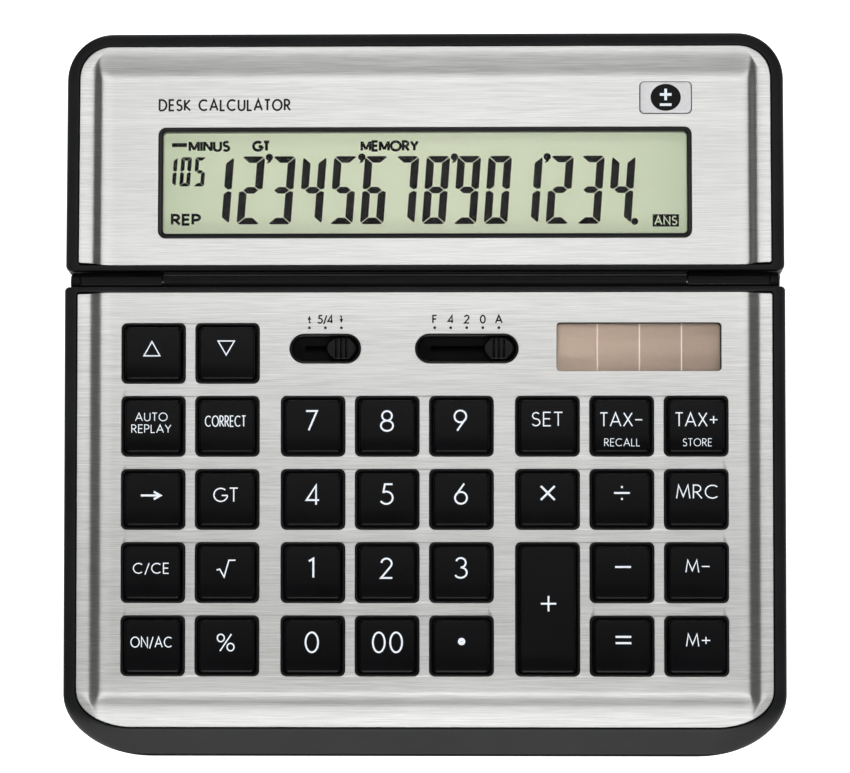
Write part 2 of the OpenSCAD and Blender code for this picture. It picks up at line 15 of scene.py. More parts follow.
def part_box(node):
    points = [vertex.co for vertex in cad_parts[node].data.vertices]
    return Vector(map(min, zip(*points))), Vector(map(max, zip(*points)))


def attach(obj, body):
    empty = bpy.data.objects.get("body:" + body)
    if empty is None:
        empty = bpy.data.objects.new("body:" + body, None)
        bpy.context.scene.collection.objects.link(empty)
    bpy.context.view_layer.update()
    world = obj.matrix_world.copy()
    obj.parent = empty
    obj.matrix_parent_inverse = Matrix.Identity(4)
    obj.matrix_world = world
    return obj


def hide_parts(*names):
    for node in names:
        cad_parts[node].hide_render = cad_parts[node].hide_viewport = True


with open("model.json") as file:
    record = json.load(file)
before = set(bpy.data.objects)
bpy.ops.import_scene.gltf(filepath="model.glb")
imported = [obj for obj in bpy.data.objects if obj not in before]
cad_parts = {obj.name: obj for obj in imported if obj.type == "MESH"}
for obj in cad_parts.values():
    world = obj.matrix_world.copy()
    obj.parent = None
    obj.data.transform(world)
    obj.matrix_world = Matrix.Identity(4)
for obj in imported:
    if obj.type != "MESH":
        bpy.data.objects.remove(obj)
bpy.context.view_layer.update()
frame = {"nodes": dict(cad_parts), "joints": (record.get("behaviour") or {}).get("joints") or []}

MM = 0.001
JOINTS = {j["name"]: j for j in frame["joints"]}
HINGE = Vector(JOINTS["display_tilt"]["pos_m"])
PRESS = Vector(JOINTS["key_0_press"]["axis"])
DECK_TILT = math.atan2(PRESS.y, -PRESS.z)
DISPLAY_TILT = math.radians(2.6)

# Pressed faceplates: thickness, height of the rim over the field, and rounding of every cut edge
PLATE_T = 0.8
RIM_RISE = 1.4
PLATE_EDGE = 0.1
# Heights over a face of the plate's field, of the deck under it, and of the deck's underside
FIELD_Z = -RIM_RISE
SEAT_Z = FIELD_Z - PLATE_T
UNDER_Z = SEAT_Z - 1.6
# Height of the seam of both cases over the desk, and their walls' thickness
SEAM_Z = 7.0
WALL = 1.8


class Face:
    """A tilted face of the object, in millimetres: y runs away from the hinge axis, z is 0 at the rim."""

    def __init__(self, tilt, plate):
        self.turn = Matrix.Rotation(tilt, 3, "X")
        self.back = self.turn.inverted()
        rim = max((self.back @ (v.co - HINGE)).z for v in frame["nodes"][plate].data.vertices)
        self.origin = HINGE + Vector((0, 0, rim / math.cos(tilt)))
        self.slope = math.tan(tilt)

    def world(self, x, y, z=0.0):
        return self.origin + self.turn @ (Vector((x, y, z)) * MM)

    def at_level(self, level):
        """A function from (x, y, z) to the row's frame, with z measured from a level over the face."""
        return lambda x, y, z: self.world(x, y, level + z)

    def box(self, node):
        points = [self.back @ (v.co - self.origin) / MM for v in frame["nodes"][node].data.vertices]
        low = Vector([min(p[i] for p in points) for i in range(3)])
        high = Vector([max(p[i] for p in points) for i in range(3)])
        return low, high

    def centre(self, node):
        low, high = self.box(node)
        return (low + high) / 2

    def height(self, y_world):
        """Height in metres of the face at a place along the row's Y, in metres."""
        return self.origin.z + (y_world - self.origin.y) * self.slope


deck = Face(DECK_TILT, "keypad_plate")
screen = Face(DISPLAY_TILT, "display_plate")

# ---------------------------------------------------------------- materials


class Nodes:
    """Short hand for building a material. values are set on its shader."""

    def __init__(self, name, **values):
        self.material = bpy.data.materials.new(name)
        self.material.use_nodes = True
        self.tree = self.material.node_tree
        self.shader = self.tree.nodes["Principled BSDF"]
        self.surface(**values)

    def feed(self, target, source):
        """Links a socket, or sets its value."""
        if isinstance(source, bpy.types.NodeSocket):
            self.tree.links.new(source, target)
        else:
            target.default_value = source

    def add(self, kind, inputs=(), **settings):
        """A node with its settings, and its inputs given as (name or number, source)."""
        made = self.tree.nodes.new("ShaderNode" + kind)
        for name, value in settings.items():
            setattr(made, name, value)
        for key, source in inputs:
            self.feed(made.inputs[key], source)
        return made

    def coords(self, scale=(1, 1, 1)):
        """Object coordinates, in metres, times scale on each axis."""
        place = self.add("TexCoord").outputs["Object"]
        return self.add("Mapping", [("Vector", place), ("Scale", scale)]).outputs["Vector"]

    def axis(self, name):
        return self.add("SeparateXYZ", [(0, self.coords())]).outputs[name]

    def noise(self, scale, detail, roughness, stretch=(1, 1, 1)):
        values = [("Scale", scale), ("Detail", detail), ("Roughness", roughness)]
        return self.add("TexNoise", [("Vector", self.coords(stretch)), *values]).outputs["Fac"]

    def math(self, operation, *sources):
        return self.add("Math", enumerate(sources), operation=operation).outputs[0]

    def span(self, value, low, high, out_low=0.0, out_high=1.0):
        ends = zip(("From Min", "From Max", "To Min", "To Max"), (low, high, out_low, out_high))
        return self.add("MapRange", [("Value", value), *ends]).outputs["Result"]

    def ramp(self, value, stops):
        made = self.add("ValToRGB", [("Fac", value)])
        ramp = made.color_ramp
        while len(ramp.elements) < len(stops):
            ramp.elements.new(0.5)
        for element, (place, colour) in zip(ramp.elements, stops):
            element.position = place
            element.color = (*colour, 1)
        return made.outputs["Color"]

    def dimmed(self, colour, value, darkest):
        """A colour times a ramp from the darkest tint to white."""
        return self.times(colour, self.ramp(value, [(0.3, darkest), (0.7, (1.0, 1.0, 1.0))]))

    def times(self, a, b):
        inputs = [(0, 1.0), (6, a), (7, b)]
        return self.add("Mix", inputs, data_type="RGBA", blend_type="MULTIPLY").outputs[2]

    def bump(self, height, strength, distance):
        inputs = [("Strength", strength), ("Distance", distance * MM), ("Height", height)]
        return self.add("Bump", inputs).outputs["Normal"]

    def surface(self, **sources):
        for name, source in sources.items():
            self.feed(self.shader.inputs[name.replace("_", " ")], source)
        return self.material


# Share by which the clouds in a plastic lighten and darken it
CLOUDINESS = 0.25


def moulded_plastic(name, colour, roughness, grain, level):
    """Injection-moulded plastic: fine spark texture, faint cloudiness and a little variation in gloss."""
    n = Nodes(name, Specular_IOR_Level=level)
    fine = n.noise(2600.0, 2.0, 0.6)
    cloud = n.noise(60.0, 4.0, 0.55)
    tints = [(place, tuple(c * (1 + change) for c in colour))
             for place, change in ((0.3, -CLOUDINESS), (0.7, CLOUDINESS))]
    gloss = n.span(cloud, 0.3, 0.7, roughness - 0.04, roughness + 0.04)
    return n.surface(Base_Color=n.ramp(cloud, tints), Roughness=gloss, Normal=n.bump(fine, 0.35, grain))


# Painted light and shade on the metal: a correction of its brightness that stands for no feature of the
# object. It was listed beside the reference's measured brightness from front to back: (millimetres along the
# depth, share of the reflection)
PAINTED_LIGHT_BY_DEPTH = [(-90.0, 1.28), (-83.0, 1.26), (-81.3, 1.0), (-79.5, 0.9), (-77.5, 1.1), (-70.0, 1.08),
          (-50.0, 1.0), (16.0, 1.0), (22.0, 1.06), (34.0, 1.05), (46.0, 1.0), (66.0, 1.02), (70.0, 1.08),
          (84.0, 1.07), (88.0, 0.98)]
PAINTED_LIGHT_BY_DEPTH_FULL = 1.3


def brushed_aluminium(name):
    """Anodised aluminium brushed along X: long streaks, reflections that spread along Y, and painted light
    and shade from front to back.
    """
    n = Nodes(name, Metallic=1.0, Anisotropic=0.55)
    tangent = n.add("Tangent", direction_type="UV_MAP", uv_map="UVMap")
    streak = n.noise(1.0, 3.0, 0.6, (85, 4300, 900))
    wide = n.noise(1.0, 3.0, 0.5, (20, 620, 300))
    cloud = n.noise(22.0, 2.0, 0.5)
    lines = n.math("MULTIPLY_ADD", streak, 0.86, n.math("MULTIPLY", wide, 0.14))
    greys = [(0.3, (0.47, 0.47, 0.46)), (0.5, (0.598, 0.598, 0.588)), (0.7, (0.727, 0.727, 0.715))]
    shade = n.dimmed(n.ramp(lines, greys), cloud, (0.95, 0.95, 0.95))
    near, far = PAINTED_LIGHT_BY_DEPTH[0][0], PAINTED_LIGHT_BY_DEPTH[-1][0]
    stops = [((y - near) / (far - near), (share / PAINTED_LIGHT_BY_DEPTH_FULL,) * 3) for y, share in PAINTED_LIGHT_BY_DEPTH]
    # Painted light and shade: the colour is lightened and darkened along Y by the table above
    shade = n.times(shade, n.ramp(n.span(n.axis("Y"), near * MM, far * MM), stops))
    return n.surface(Base_Color=shade, Roughness=n.span(lines, 0.3, 0.7, 0.30, 0.35),
                     Normal=n.bump(lines, 0.05, 0.01), Tangent=tangent.outputs["Tangent"])


def plain_metal(name, colour, roughness):
    n = Nodes(name, Metallic=1.0)
    scuffs = n.noise(1.0, 4.0, 0.6, (600, 600, 200))
    tint = n.ramp(scuffs, [(0.3, tuple(c * 0.85 for c in colour)), (0.7, colour)])
    gloss = n.span(scuffs, 0.3, 0.7, roughness, roughness + 0.12)
    return n.surface(Base_Color=tint, Roughness=gloss, Normal=n.bump(scuffs, 0.1, 0.01))


def rubber(name, colour):
    n = Nodes(name, Specular_IOR_Level=0.35)
    dust = n.noise(900.0, 4.0, 0.7)
    tint = n.ramp(dust, [(0.35, colour), (0.75, tuple(c * 1.6 + 0.01 for c in colour))])
    return n.surface(Base_Color=tint, Roughness=n.span(dust, 0.3, 0.7, 0.72, 0.88),
                     Normal=n.bump(dust, 0.4, 0.03))


def clear_plastic(name):
    """Clear acrylic, with a trace of haze."""
    n = Nodes(name, Transmission_Weight=1.0, IOR=1.08, Base_Color=(0.99, 1.0, 0.985, 1))
    return n.surface(Roughness=n.span(n.noise(300.0, 2.0, 0.5), 0.3, 0.7, 0.01, 0.035))


def printed_ink(name, colour, glow=0.0):
    n = Nodes(name, Specular_IOR_Level=0.06, Emission_Color=(*colour, 1), Emission_Strength=glow)
    cover = n.noise(4000.0, 2.0, 0.6)
    tint = n.ramp(cover, [(0.3, tuple(c * 0.93 for c in colour)), (0.6, colour)])
    return n.surface(Base_Color=tint, Roughness=n.span(cover, 0.3, 0.7, 0.5, 0.65))


def lcd_back(name):
    """Reflective LCD: grey-green, brighter in the middle, with the reflector's fine sparkle and a painted
    glow, though it gives off no light.
    """
    n = Nodes(name, Specular_IOR_Level=0.2, Emission_Strength=LCD_PAINTED_GLOW)
    sparkle = n.noise(5000.0, 2.0, 0.7)
    away = n.span(n.math("ABSOLUTE", n.axis("X")), 0.0, LCD_HALF * MM)
    greens = [(0.0, (0.700, 0.745, 0.560)), (0.75, (0.665, 0.715, 0.530)), (1.0, (0.585, 0.650, 0.470))]
    tint = n.dimmed(n.ramp(away, greens), sparkle, (0.96, 0.96, 0.96))
    return n.surface(Base_Color=tint, Emission_Color=tint, Roughness=n.span(sparkle, 0.3, 0.7, 0.55, 0.7))


def solar_cells(name):
    """Amorphous silicon seen through glass: pinkish brown, lighter on the left and darker towards the right.
    """
    n = Nodes(name, Specular_IOR_Level=0.4)
    grain = n.noise(1.0, 3.0, 0.6, (900, 2600, 900))
    left_to_right = n.span(n.axis("X"), SOLAR_LEFT * MM, SOLAR_RIGHT * MM)
    tint = n.ramp(left_to_right, [(0.0, (0.88, 0.65, 0.51)), (1.0, (0.64, 0.465, 0.36))])
    return n.surface(Base_Color=n.dimmed(tint, grain, (0.94, 0.93, 0.92)),
                     Roughness=n.span(grain, 0.3, 0.7, 0.28, 0.36))


def circuit_board(name):
    """Green solder mask with the tracks under it standing slightly proud."""
    n = Nodes(name, Specular_IOR_Level=0.5)
    tracks = n.add("TexBrick", [
        ("Vector", n.coords()), ("Scale", 160.0), ("Mortar Size", 0.02), ("Color1", (0.02, 0.14, 0.05, 1)),
        ("Color2", (0.03, 0.18, 0.07, 1)), ("Mortar", (0.09, 0.30, 0.13, 1))])
    fine = n.noise(900.0, 3.0, 0.5)
    return n.surface(Base_Color=tracks.outputs["Color"], Roughness=n.span(fine, 0.3, 0.7, 0.3, 0.42),
                     Normal=n.bump(tracks.outputs["Fac"], 0.3, 0.03))


# Extent of the solar cells along X, and half the length of the LCD
SOLAR_LEFT, SOLAR_RIGHT = 34.0, 76.0
LCD_HALF = 69.0
# Painted glow of the two readable parts, which give off no light of their own, so that they keep their
# contrast in soft light
LCD_PAINTED_GLOW = 0.27
INK_PAINTED_GLOW = 0.3

BLACK = moulded_plastic("black_abs", (0.007, 0.0072, 0.008), 0.42, 0.012, 0.12)
BLACK_GLOSS = moulded_plastic("black_bezel", (0.003, 0.003, 0.0034), 0.30, 0.006, 0.18)
# Painted light: the housings' rims in the same black plastic as black_abs, made lighter
BLACK_ABS_PAINTED_LIGHTER = moulded_plastic("black_abs_painted_lighter", (0.0128, 0.0132, 0.0142), 0.42, 0.012, 0.12)
# Painted light: the key rings in black plastic made lighter than black_abs
BLACK_RING_PAINTED_LIGHTER = moulded_plastic("black_ring_painted_lighter", (0.0085, 0.0087, 0.0095), 0.34, 0.008, 0.16)
KNOB = moulded_plastic("switch_knob", (0.0015, 0.0015, 0.0018), 0.34, 0.006, 0.13)
BLACK_DEEP = moulded_plastic("black_recess", (0.0075, 0.0075, 0.008), 0.6, 0.006, 0.05)
KEY = moulded_plastic("key_cap", (0.0024, 0.0025, 0.0032), 0.3, 0.007, 0.09)
ALUMINIUM = brushed_aluminium("brushed_aluminium")
STEEL = plain_metal("steel", (0.62, 0.62, 0.63), 0.25)
DARK_STEEL = plain_metal("black_zinc", (0.12, 0.12, 0.125), 0.35)
BRASS = plain_metal("spring_brass", (0.72, 0.58, 0.30), 0.28)
RUBBER = rubber("black_rubber", (0.018, 0.018, 0.018))
SILICONE = rubber("grey_silicone", (0.42, 0.42, 0.40))
CLEAR = clear_plastic("clear_acrylic")
# White ink of the legends and the badge's sign, with a painted glow
WHITE_INK = printed_ink("white_ink", (0.84, 0.89, 0.95), INK_PAINTED_GLOW)
DARK_INK = printed_ink("dark_ink", (0.014, 0.014, 0.014))
GREY_INK = printed_ink("joint_grey", (0.10, 0.10, 0.105))
LCD_INK = printed_ink("lcd_segment", (0.014, 0.012, 0.012))
LCD_BACK = lcd_back("lcd_reflector")
SOLAR = solar_cells("solar_cells")
# Light lines of the cell gaps and the backing under the cells, with a painted glow
SOLAR_LINE = printed_ink("cell_gap", (0.95, 0.87, 0.82), 0.25)
BADGE = plain_metal("badge_silver", (0.70, 0.70, 0.71), 0.38)
BOARD = circuit_board("solder_mask")

# ---------------------------------------------------------------- outlines and meshes


def arc(x, y, rx, ry, start, steps):
    """A quarter turn of an ellipse, from the angle start in degrees."""
    points = []
    for i in range(steps + 1):
        a = math.radians(start + 90 * i / steps)
        points.append((x + rx * math.cos(a), y + ry * math.sin(a)))
    return points


def panel(w, y0, y1, front, back, steps=16):
    """Anticlockwise rectangle from y0 to y1. Its elliptical corners are given as (x radius, y radius)."""
    return (arc(w / 2 - front[0], y0 + front[1], *front, -90, steps)
            + arc(w / 2 - back[0], y1 - back[1], *back, 0, steps)
            + arc(back[0] - w / 2, y1 - back[1], *back, 90, steps)
            + arc(front[0] - w / 2, y0 + front[1], *front, 180, steps))


def rounded(w, d, r, x=0.0, y=0.0, steps=8):
    return [(px + x, py + y) for px, py in panel(w, -d / 2, d / 2, (r, r), (r, r), steps)]


def stadium(w, d, x=0.0, y=0.0, steps=12):
    return rounded(w, d, d / 2 - 0.001, x, y, steps)


def finish_mesh(mesh, sharp=32.0):
    for polygon in mesh.polygons:
        polygon.use_smooth = True
    mesh.set_sharp_from_angle(angle=math.radians(sharp))


def add_piece(name, mesh, body, material, sharp=32.0, replaces=()):
    """Makes a piece of the object from a mesh that is already in the row's frame."""
    finish_mesh(mesh, sharp)
    mesh.materials.clear()
    mesh.materials.append(material)
    piece = linked(name, mesh)
    weighted = piece.modifiers.new("flat_faces_stay_flat", "WEIGHTED_NORMAL")
    weighted.keep_sharp = True
    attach(piece, body)
    if replaces:
        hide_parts(*replaces)
    return piece


class Builder:
    """Collects vertices and faces, in metres, into one mesh."""

    def __init__(self):
        self.points = []
        self.faces = []

    def ring(self, points):
        start = len(self.points)
        self.points.extend(points)
        return list(range(start, start + len(points)))

    def bridge(self, a, b):
        """Quads from ring a to ring b, facing outwards when the rings run anticlockwise and b is above a."""
        n = len(a)
        for i in range(n):
            j = (i + 1) % n
            self.faces.append((a[i], a[j], b[j], b[i]))

    def loft(self, rings, loop=False):
        """A skin over rings, closed at both ends, or joined from the last to the first."""
        made = [self.ring(r) for r in rings]
        for a, b in zip(made, made[1:]):
            self.bridge(a, b)
        if loop:
            self.bridge(made[-1], made[0])
        else:
            self.faces += [tuple(reversed(made[0])), tuple(made[-1])]

    def mesh(self, name):
        mesh = bpy.data.meshes.new(name)
        mesh.from_pydata([tuple(p) for p in self.points], [], self.faces)
        mesh.validate()
        bm = opened(mesh)
        bmesh.ops.recalc_face_normals(bm, faces=bm.faces)
        return written(bm, mesh)


def lifted(face, outline, z):
    """An outline at one height over a face, as points in the row's frame."""
    return [face.world(x, y, z) for x, y in outline]


def evaluated(piece):
    """The mesh of an object with its modifiers applied."""
    graph = bpy.context.evaluated_depsgraph_get()
    return bpy.data.meshes.new_from_object(piece.evaluated_get(graph), depsgraph=graph)


def linked(name, data):
    """A new object in the scene."""
    made = bpy.data.objects.new(name, data)
    bpy.context.scene.collection.objects.link(made)
    return made


def opened(mesh):
    bm = bmesh.new()
    bm.from_mesh(mesh)
    return bm


def written(bm, mesh):
    bm.to_mesh(mesh)
    bm.free()
    return mesh


def slit(bm, axis, place):
    """Divides every face that crosses a plane square to one axis (0 for X, 1 for Y)."""
    point = [place if i == axis else 0.0 for i in range(3)]
    normal = [1.0 if i == axis else 0.0 for i in range(3)]
    bmesh.ops.bisect_plane(bm, geom=[*bm.verts, *bm.edges, *bm.faces], dist=1e-5,
                           plane_co=point, plane_no=normal)


def cut_sheet(outline, holes, z0, z1, edge, cuts_x=(), cuts_y=()):
    """Flat sheet with holes and rounded edges, in millimetres, cut into strips along the given lines."""
    curve = bpy.data.curves.new("sheet", "CURVE")
    curve.dimensions = "2D"
    curve.fill_mode = "BOTH"
    curve.extrude = (z1 - z0) / 2 - edge
    curve.bevel_depth = edge
    curve.bevel_resolution = 2
    curve.offset = -edge
    for points in [outline, *holes]:
        spline = curve.splines.new("POLY")
        spline.points.add(len(points) - 1)
        for point, (x, y) in zip(spline.points, points):
            point.co = (x, y, 0, 1)
        spline.use_cyclic_u = True
    flat = linked("sheet", curve)
    mesh = evaluated(flat)
    bpy.data.objects.remove(flat)
    bm = opened(mesh)
    bmesh.ops.remove_doubles(bm, verts=bm.verts, dist=0.0005)
    for axis, places in enumerate((cuts_x, cuts_y)):
        for place in places:
            slit(bm, axis, place)
    for v in bm.verts:
        v.co.z += (z0 + z1) / 2
    return written(bm, mesh)


def place_mesh(mesh, face, shift=None):
    """Moves a mesh from a face's millimetres into the row's frame. shift changes z at each (x, y)."""
    for v in mesh.vertices:
        x, y, z = v.co
        v.co = face.world(x, y, z + (shift(x, y) if shift else 0.0))
    mesh.update()
    return mesh


def brushed_uv(mesh):
    """UVs in decimetres with U along Y, so that the reflections spread across the brushing."""
    layer = mesh.uv_layers.new(name="UVMap") if not mesh.uv_layers else mesh.uv_layers[0]
    layer.name = "UVMap"
    for loop in mesh.loops:
        co = mesh.vertices[loop.vertex_index].co
        layer.data[loop.index].uv = (co.y * 10, co.x * 10)


def carve(piece, cutter_mesh):
    """Cuts a mesh out of a piece, for good."""
    cutter = linked("cutter", cutter_mesh)
    cut = piece.modifiers.new("cut", "BOOLEAN")
    cut.operation = "DIFFERENCE"
    cut.solver = "EXACT"
    cut.object = cutter
    mesh = evaluated(piece)
    piece.modifiers.clear()
    piece.data = mesh
    bpy.data.objects.remove(cutter)


ROD_SIDES = 64


def on_hinge(x, section):
    """A section, as (y, z) from the hinge's axis, at one x along it."""
    return [HINGE + Vector((x, y, z)) * MM for y, z in section]


def rod_mesh(profile):
    """Solid turned about the hinge's axis. profile is (x, radius) in millimetres."""
    turns = [2 * math.pi * i / ROD_SIDES for i in range(ROD_SIDES)]
    b = Builder()
    b.loft([on_hinge(x, [(r * math.cos(a), r * math.sin(a)) for a in turns]) for x, r in profile])
    return b.mesh("rod")


# ---------------------------------------------------------------- pressed faceplates

# Shape of the pressed slopes: (distance from the plate's edge in millimetres, steepness). Each slope is
# scaled to the rim's height, so only the proportions of its steepness count.
KEYPAD_SIDE = [(0.0, 0.0), (1.2, 0.10), (2.0, 0.28), (2.5, 0.36), (2.8, 0.42), (3.1, 0.56), (3.35, 0.74),
               (3.7, 0.92), (4.1, 1.0), (4.7, 1.04), (5.3, 0.98), (5.7, 0.86), (6.0, 0.68), (6.3, 0.54),
               (6.6, 0.43), (7.0, 0.34), (7.5, 0.26), (8.1, 0.13), (9.0, 0.0)]
DISPLAY_SIDE = [(0.0, 0.0), (1.2, 0.14), (2.0, 0.29), (2.6, 0.36), (3.1, 0.45), (3.5, 0.58), (3.9, 0.82),
                (4.4, 1.06), (4.9, 1.04), (5.3, 0.84), (5.6, 0.64), (5.9, 0.50), (6.3, 0.38), (6.9, 0.28),
                (7.7, 0.16), (8.8, 0.0)]
BACK_PRESS = [(0.0, 0.05), (0.5, 0.1), (1.6, 0.5), (2.9, 0.8), (5.0, 0.88), (5.8, 1.0), (6.7, 0.85),
              (7.8, 0.42), (9.4, 0.0)]
FRONT_PRESS = [(0.0, 0.36), (1.9, 0.40), (3.0, 0.46), (3.9, 0.56), (4.5, 0.70), (5.0, 0.90), (5.6, 1.12),
               (6.4, 1.28), (7.0, 1.18), (7.7, 1.0), (8.3, 0.8), (8.9, 0.16), (9.6, 0.11), (11.8, 0.09),
               (12.8, 0.0)]
# How sharply the side slopes meet the front and back slopes
CORNER_BLEND = 1.55
# How much shorter the rims are than the field at the hinge, and over what distance
HINGE_SWEEP = 0.5
SWEEP_REACH = 3


def pressed(distance, table):
    """Share of the rim's height that a slope has gone down at a distance from the plate's edge."""
    done, total = 0.0, 0.0
    for (a, sa), (b, sb) in zip(table, table[1:]):
        total += (b - a) * (sa + sb) / 2
        if distance <= a:
            continue
        end = min(distance, b)
        s_end = sa + (sb - sa) * (end - a) / (b - a)
        done += (end - a) * (sa + s_end) / 2
    return done / total


def stops(table, spacing=0.3):
    """Distances at which a sheet is cut so that it can follow a slope."""
    count = math.ceil(table[-1][0] / spacing)
    return [table[-1][0] * (i + 0.5) / count for i in range(count)] + [table[-1][0]]


def faceplate(name, face, corners, press, side_press, holes, body):
    """A plate pressed down inside both sides and the edge away from the hinge."""
    low, high = face.box(name + "_plate")
    outline = panel(high.x - low.x, low.y, high.y, *corners)
    half = high.x
    cuts_x = [s * (half - d) for s in (-1, 1) for d in stops(side_press)]
    edge, hinge_edge, inward = (high.y, low.y, -1) if face is screen else (low.y, high.y, 1)
    cuts_y = [edge + inward * d for d in stops(press)]
    mesh = cut_sheet(outline, holes, -PLATE_T, 0, PLATE_EDGE, cuts_x, cuts_y)

    def sink(x, y):
        side = pressed(half - abs(x), side_press)
        end = pressed(abs(y - edge), press)
        short = ((1 - side) ** CORNER_BLEND + (1 - end) ** CORNER_BLEND) ** (1 / CORNER_BLEND)
        return -RIM_RISE * max(0.0, 1 - short)

    for v in mesh.vertices:
        near = max(0.0, 1 - abs(v.co.y - hinge_edge) / SWEEP_REACH)
        v.co.y -= inward * HINGE_SWEEP * near * (1 - pressed(half - abs(v.co.x), side_press))
    place_mesh(mesh, face, sink)
    brushed_uv(mesh)
    add_piece(name + "_faceplate", mesh, body, ALUMINIUM, 18, [name + "_plate"])


# Key holes (width, depth, corner radius), the rings in them, and the caps with their hidden flanges
HOLE_W, HOLE_D, HOLE_R = 16.5, 15.55, 1.5
RING_W = 0.8
RING_TOP = FIELD_Z + 0.35
KEY_NODES = sorted(n for n in frame["nodes"] if n.startswith("key_"))
FLANGE_W = 2.0
CAP_W, CAP_D = 14.4, 13.4


def key_place(node):
    """(x, y, extra depth of a tall key) of a key on the deck."""
    low, high = deck.box(node)
    return (low.x + high.x) / 2, (low.y + high.y) / 2, (high.y - low.y) - CAP_D - FLANGE_W


KEYS = {node: key_place(node) for node in KEY_NODES}
# Depth of a switch slot, width of its ring, length of its knob, and the knob's gaps at both ends together
SLOT_D = 7.6
SLOT_RING = 0.75
KNOB_L = 7.8
KNOB_GAP = 2.3


def slot_place(joint, node):
    """(x, y, length) of a slide switch's slot, from its knob at rest and its travel."""
    middle = deck.centre(node)
    travel = JOINTS[joint]["range_m"][0] / MM
    return middle.x + travel / 2, middle.y, KNOB_L - travel + KNOB_GAP


SLOTS = {name: slot_place(name + "_slide", name + "_knob") for name in ("rounding", "decimal")}
SOLAR_LOW, SOLAR_HIGH = deck.box("solar_window")
SOLAR_X, SOLAR_Y, _ = (SOLAR_LOW + SOLAR_HIGH) / 2
SOLAR_W, SOLAR_D = SOLAR_HIGH.x - SOLAR_LOW.x + 0.2, SOLAR_HIGH.y - SOLAR_LOW.y + 0.2
LCD_LOW, LCD_HIGH = screen.box("lcd_window")
LCD_Y = (LCD_LOW.y + LCD_HIGH.y) / 2
LCD_W, LCD_D = LCD_HIGH.x - LCD_LOW.x + 2.8, LCD_HIGH.y - LCD_LOW.y + 2.8
LCD_RING = 1.2
# Outer corners of the two plates, and the small ones at the hinge, as (x radius, y radius)
FRONT_CORNER, BACK_CORNER, PLATE_CORNER = (14.3, 9.2), (8.2, 8.2), (0.5, 0.5)


def deck_holes(shrink, r, slot_shrink):
    """Openings of the keypad for the keys, the switches and the solar window."""
    holes = [rounded(HOLE_W - shrink, HOLE_D - shrink + e, r, x, y) for x, y, e in KEYS.values()]
    holes += [stadium(length - slot_shrink, SLOT_D - slot_shrink, x, y) for x, y, length in SLOTS.values()]
    return holes + [rounded(SOLAR_W, SOLAR_D, 1.0, SOLAR_X, SOLAR_Y)]


def build_faceplates():
    faceplate("keypad", deck, (FRONT_CORNER, PLATE_CORNER), FRONT_PRESS, KEYPAD_SIDE,
              deck_holes(0, HOLE_R, 0), "base")
    faceplate("display", screen, (PLATE_CORNER, BACK_CORNER), BACK_PRESS, DISPLAY_SIDE,
              [rounded(LCD_W, LCD_D, 2.0, 0, LCD_Y)], "display")


# ---------------------------------------------------------------- housings

# Rounding of the housings' edges, set beside the reference's measured shading:
# (share of the way out from the faceplate, drop in millimetres)
SIDE_EDGE = [(0.03, 0.10), (0.08, 0.02), (0.15, 0.03), (0.3, 0.08), (0.5, 0.17), (0.68, 0.28), (0.8, 0.41),
             (0.9, 0.62), (0.965, 0.92), (1.0, 1.5)]
NOSE_EDGE = [(0.015, 0.10), (0.04, 0.02), (0.07, 0.07), (0.13, 0.42), (0.25, 1.27), (0.40, 2.3),
             (0.56, 3.35), (0.72, 4.4), (0.87, 5.4), (0.975, 6.2)]
BACK_EDGE = [(0.08, 0.05), (0.2, 0.02), (0.4, 0.03), (0.6, 0.07), (0.75, 0.13), (0.86, 0.23), (0.94, 0.45),
             (0.98, 0.8), (1.0, 1.5), (1.0, 3.4)]


def facing(points):
    """Outward direction of an outline at each of its points."""
    ends = [(points[i - 1], points[(i + 1) % len(points)]) for i in range(len(points))]
    return [Vector((b[1] - a[1], a[0] - b[0], 0)).normalized() for a, b in ends]


def housing_mesh(face, inner, outer, wall_y, nose):
    """Upper housing: a band from the faceplate's seat over the rounded edge to the seam, and back inside.

    inner is the faceplate's outline on the face, and outer the outline at the seam, on the desk's plane.
    Nothing comes in front of wall_y. nose gives the share of the nose's edge shape."""
    inside = [face.world(x, y) for x, y in inner]
    outside = [Vector((x * MM, y * MM, 0)) for x, y in outer]
    normals = facing(outer)
    away = 1 if face is deck else -1

    def kept(x, y):
        return Vector((x, max(y, wall_y), 0))

    def seat(inset, z):
        ring = []
        for p, n in zip(inside, normals):
            drawn = p - n * inset * MM
            q = kept(drawn.x, drawn.y)
            q.z = face.height(drawn.y) + z * MM
            ring.append(q)
        return ring

    def edge(row):
        (side, side_drop), (front, front_drop), (back, back_drop) = row
        ring = []
        for p, o, n in zip(inside, outside, normals):
            w = nose(n)
            hinge = max(0.0, n.y * away) ** 4
            share = side + (front - side) * w
            share += (back - share) * hinge
            drop = side_drop + (front_drop - side_drop) * w
            drop += (back_drop - drop) * hinge
            q = kept(p.x + (o.x - p.x) * share, p.y + (o.y - p.y) * share)
            q.z = face.height(q.y) - drop * MM
            ring.append(q)
        return ring

    def level(inset, z):
        ring = [kept(o.x - n.x * inset * MM, o.y - n.y * inset * MM) for o, n in zip(outside, normals)]
        for q in ring:
            q.z = z * MM
        return ring

    foot = level(WALL, SEAM_Z + 0.03)
    top = [Vector((q.x, q.y, max(q.z, face.height(q.y) - (4.6 + WALL) * MM))) for q in foot]
    rings = [seat(4.5, UNDER_Z), seat(4.5, SEAT_Z + 0.6), seat(-0.12, SEAT_Z + 0.6)]
    rings += [edge(row) for row in zip(SIDE_EDGE, NOSE_EDGE, BACK_EDGE)]
    rings += [level(0, SEAM_Z + 0.35), level(0.3, SEAM_Z + 0.03), foot, top]
    b = Builder()
    b.loft(rings, loop=True)
    return b.mesh("housing")


CAPS_LOW, CAPS_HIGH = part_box("hinge_caps")
BARREL_R = (CAPS_HIGH.z - CAPS_LOW.z) / 2 / MM
# Gap round the barrel, half length of the groove for it, and width of the decks
HINGE_GAP = 0.3
HINGE_REACH = 120
DECK_W = 172


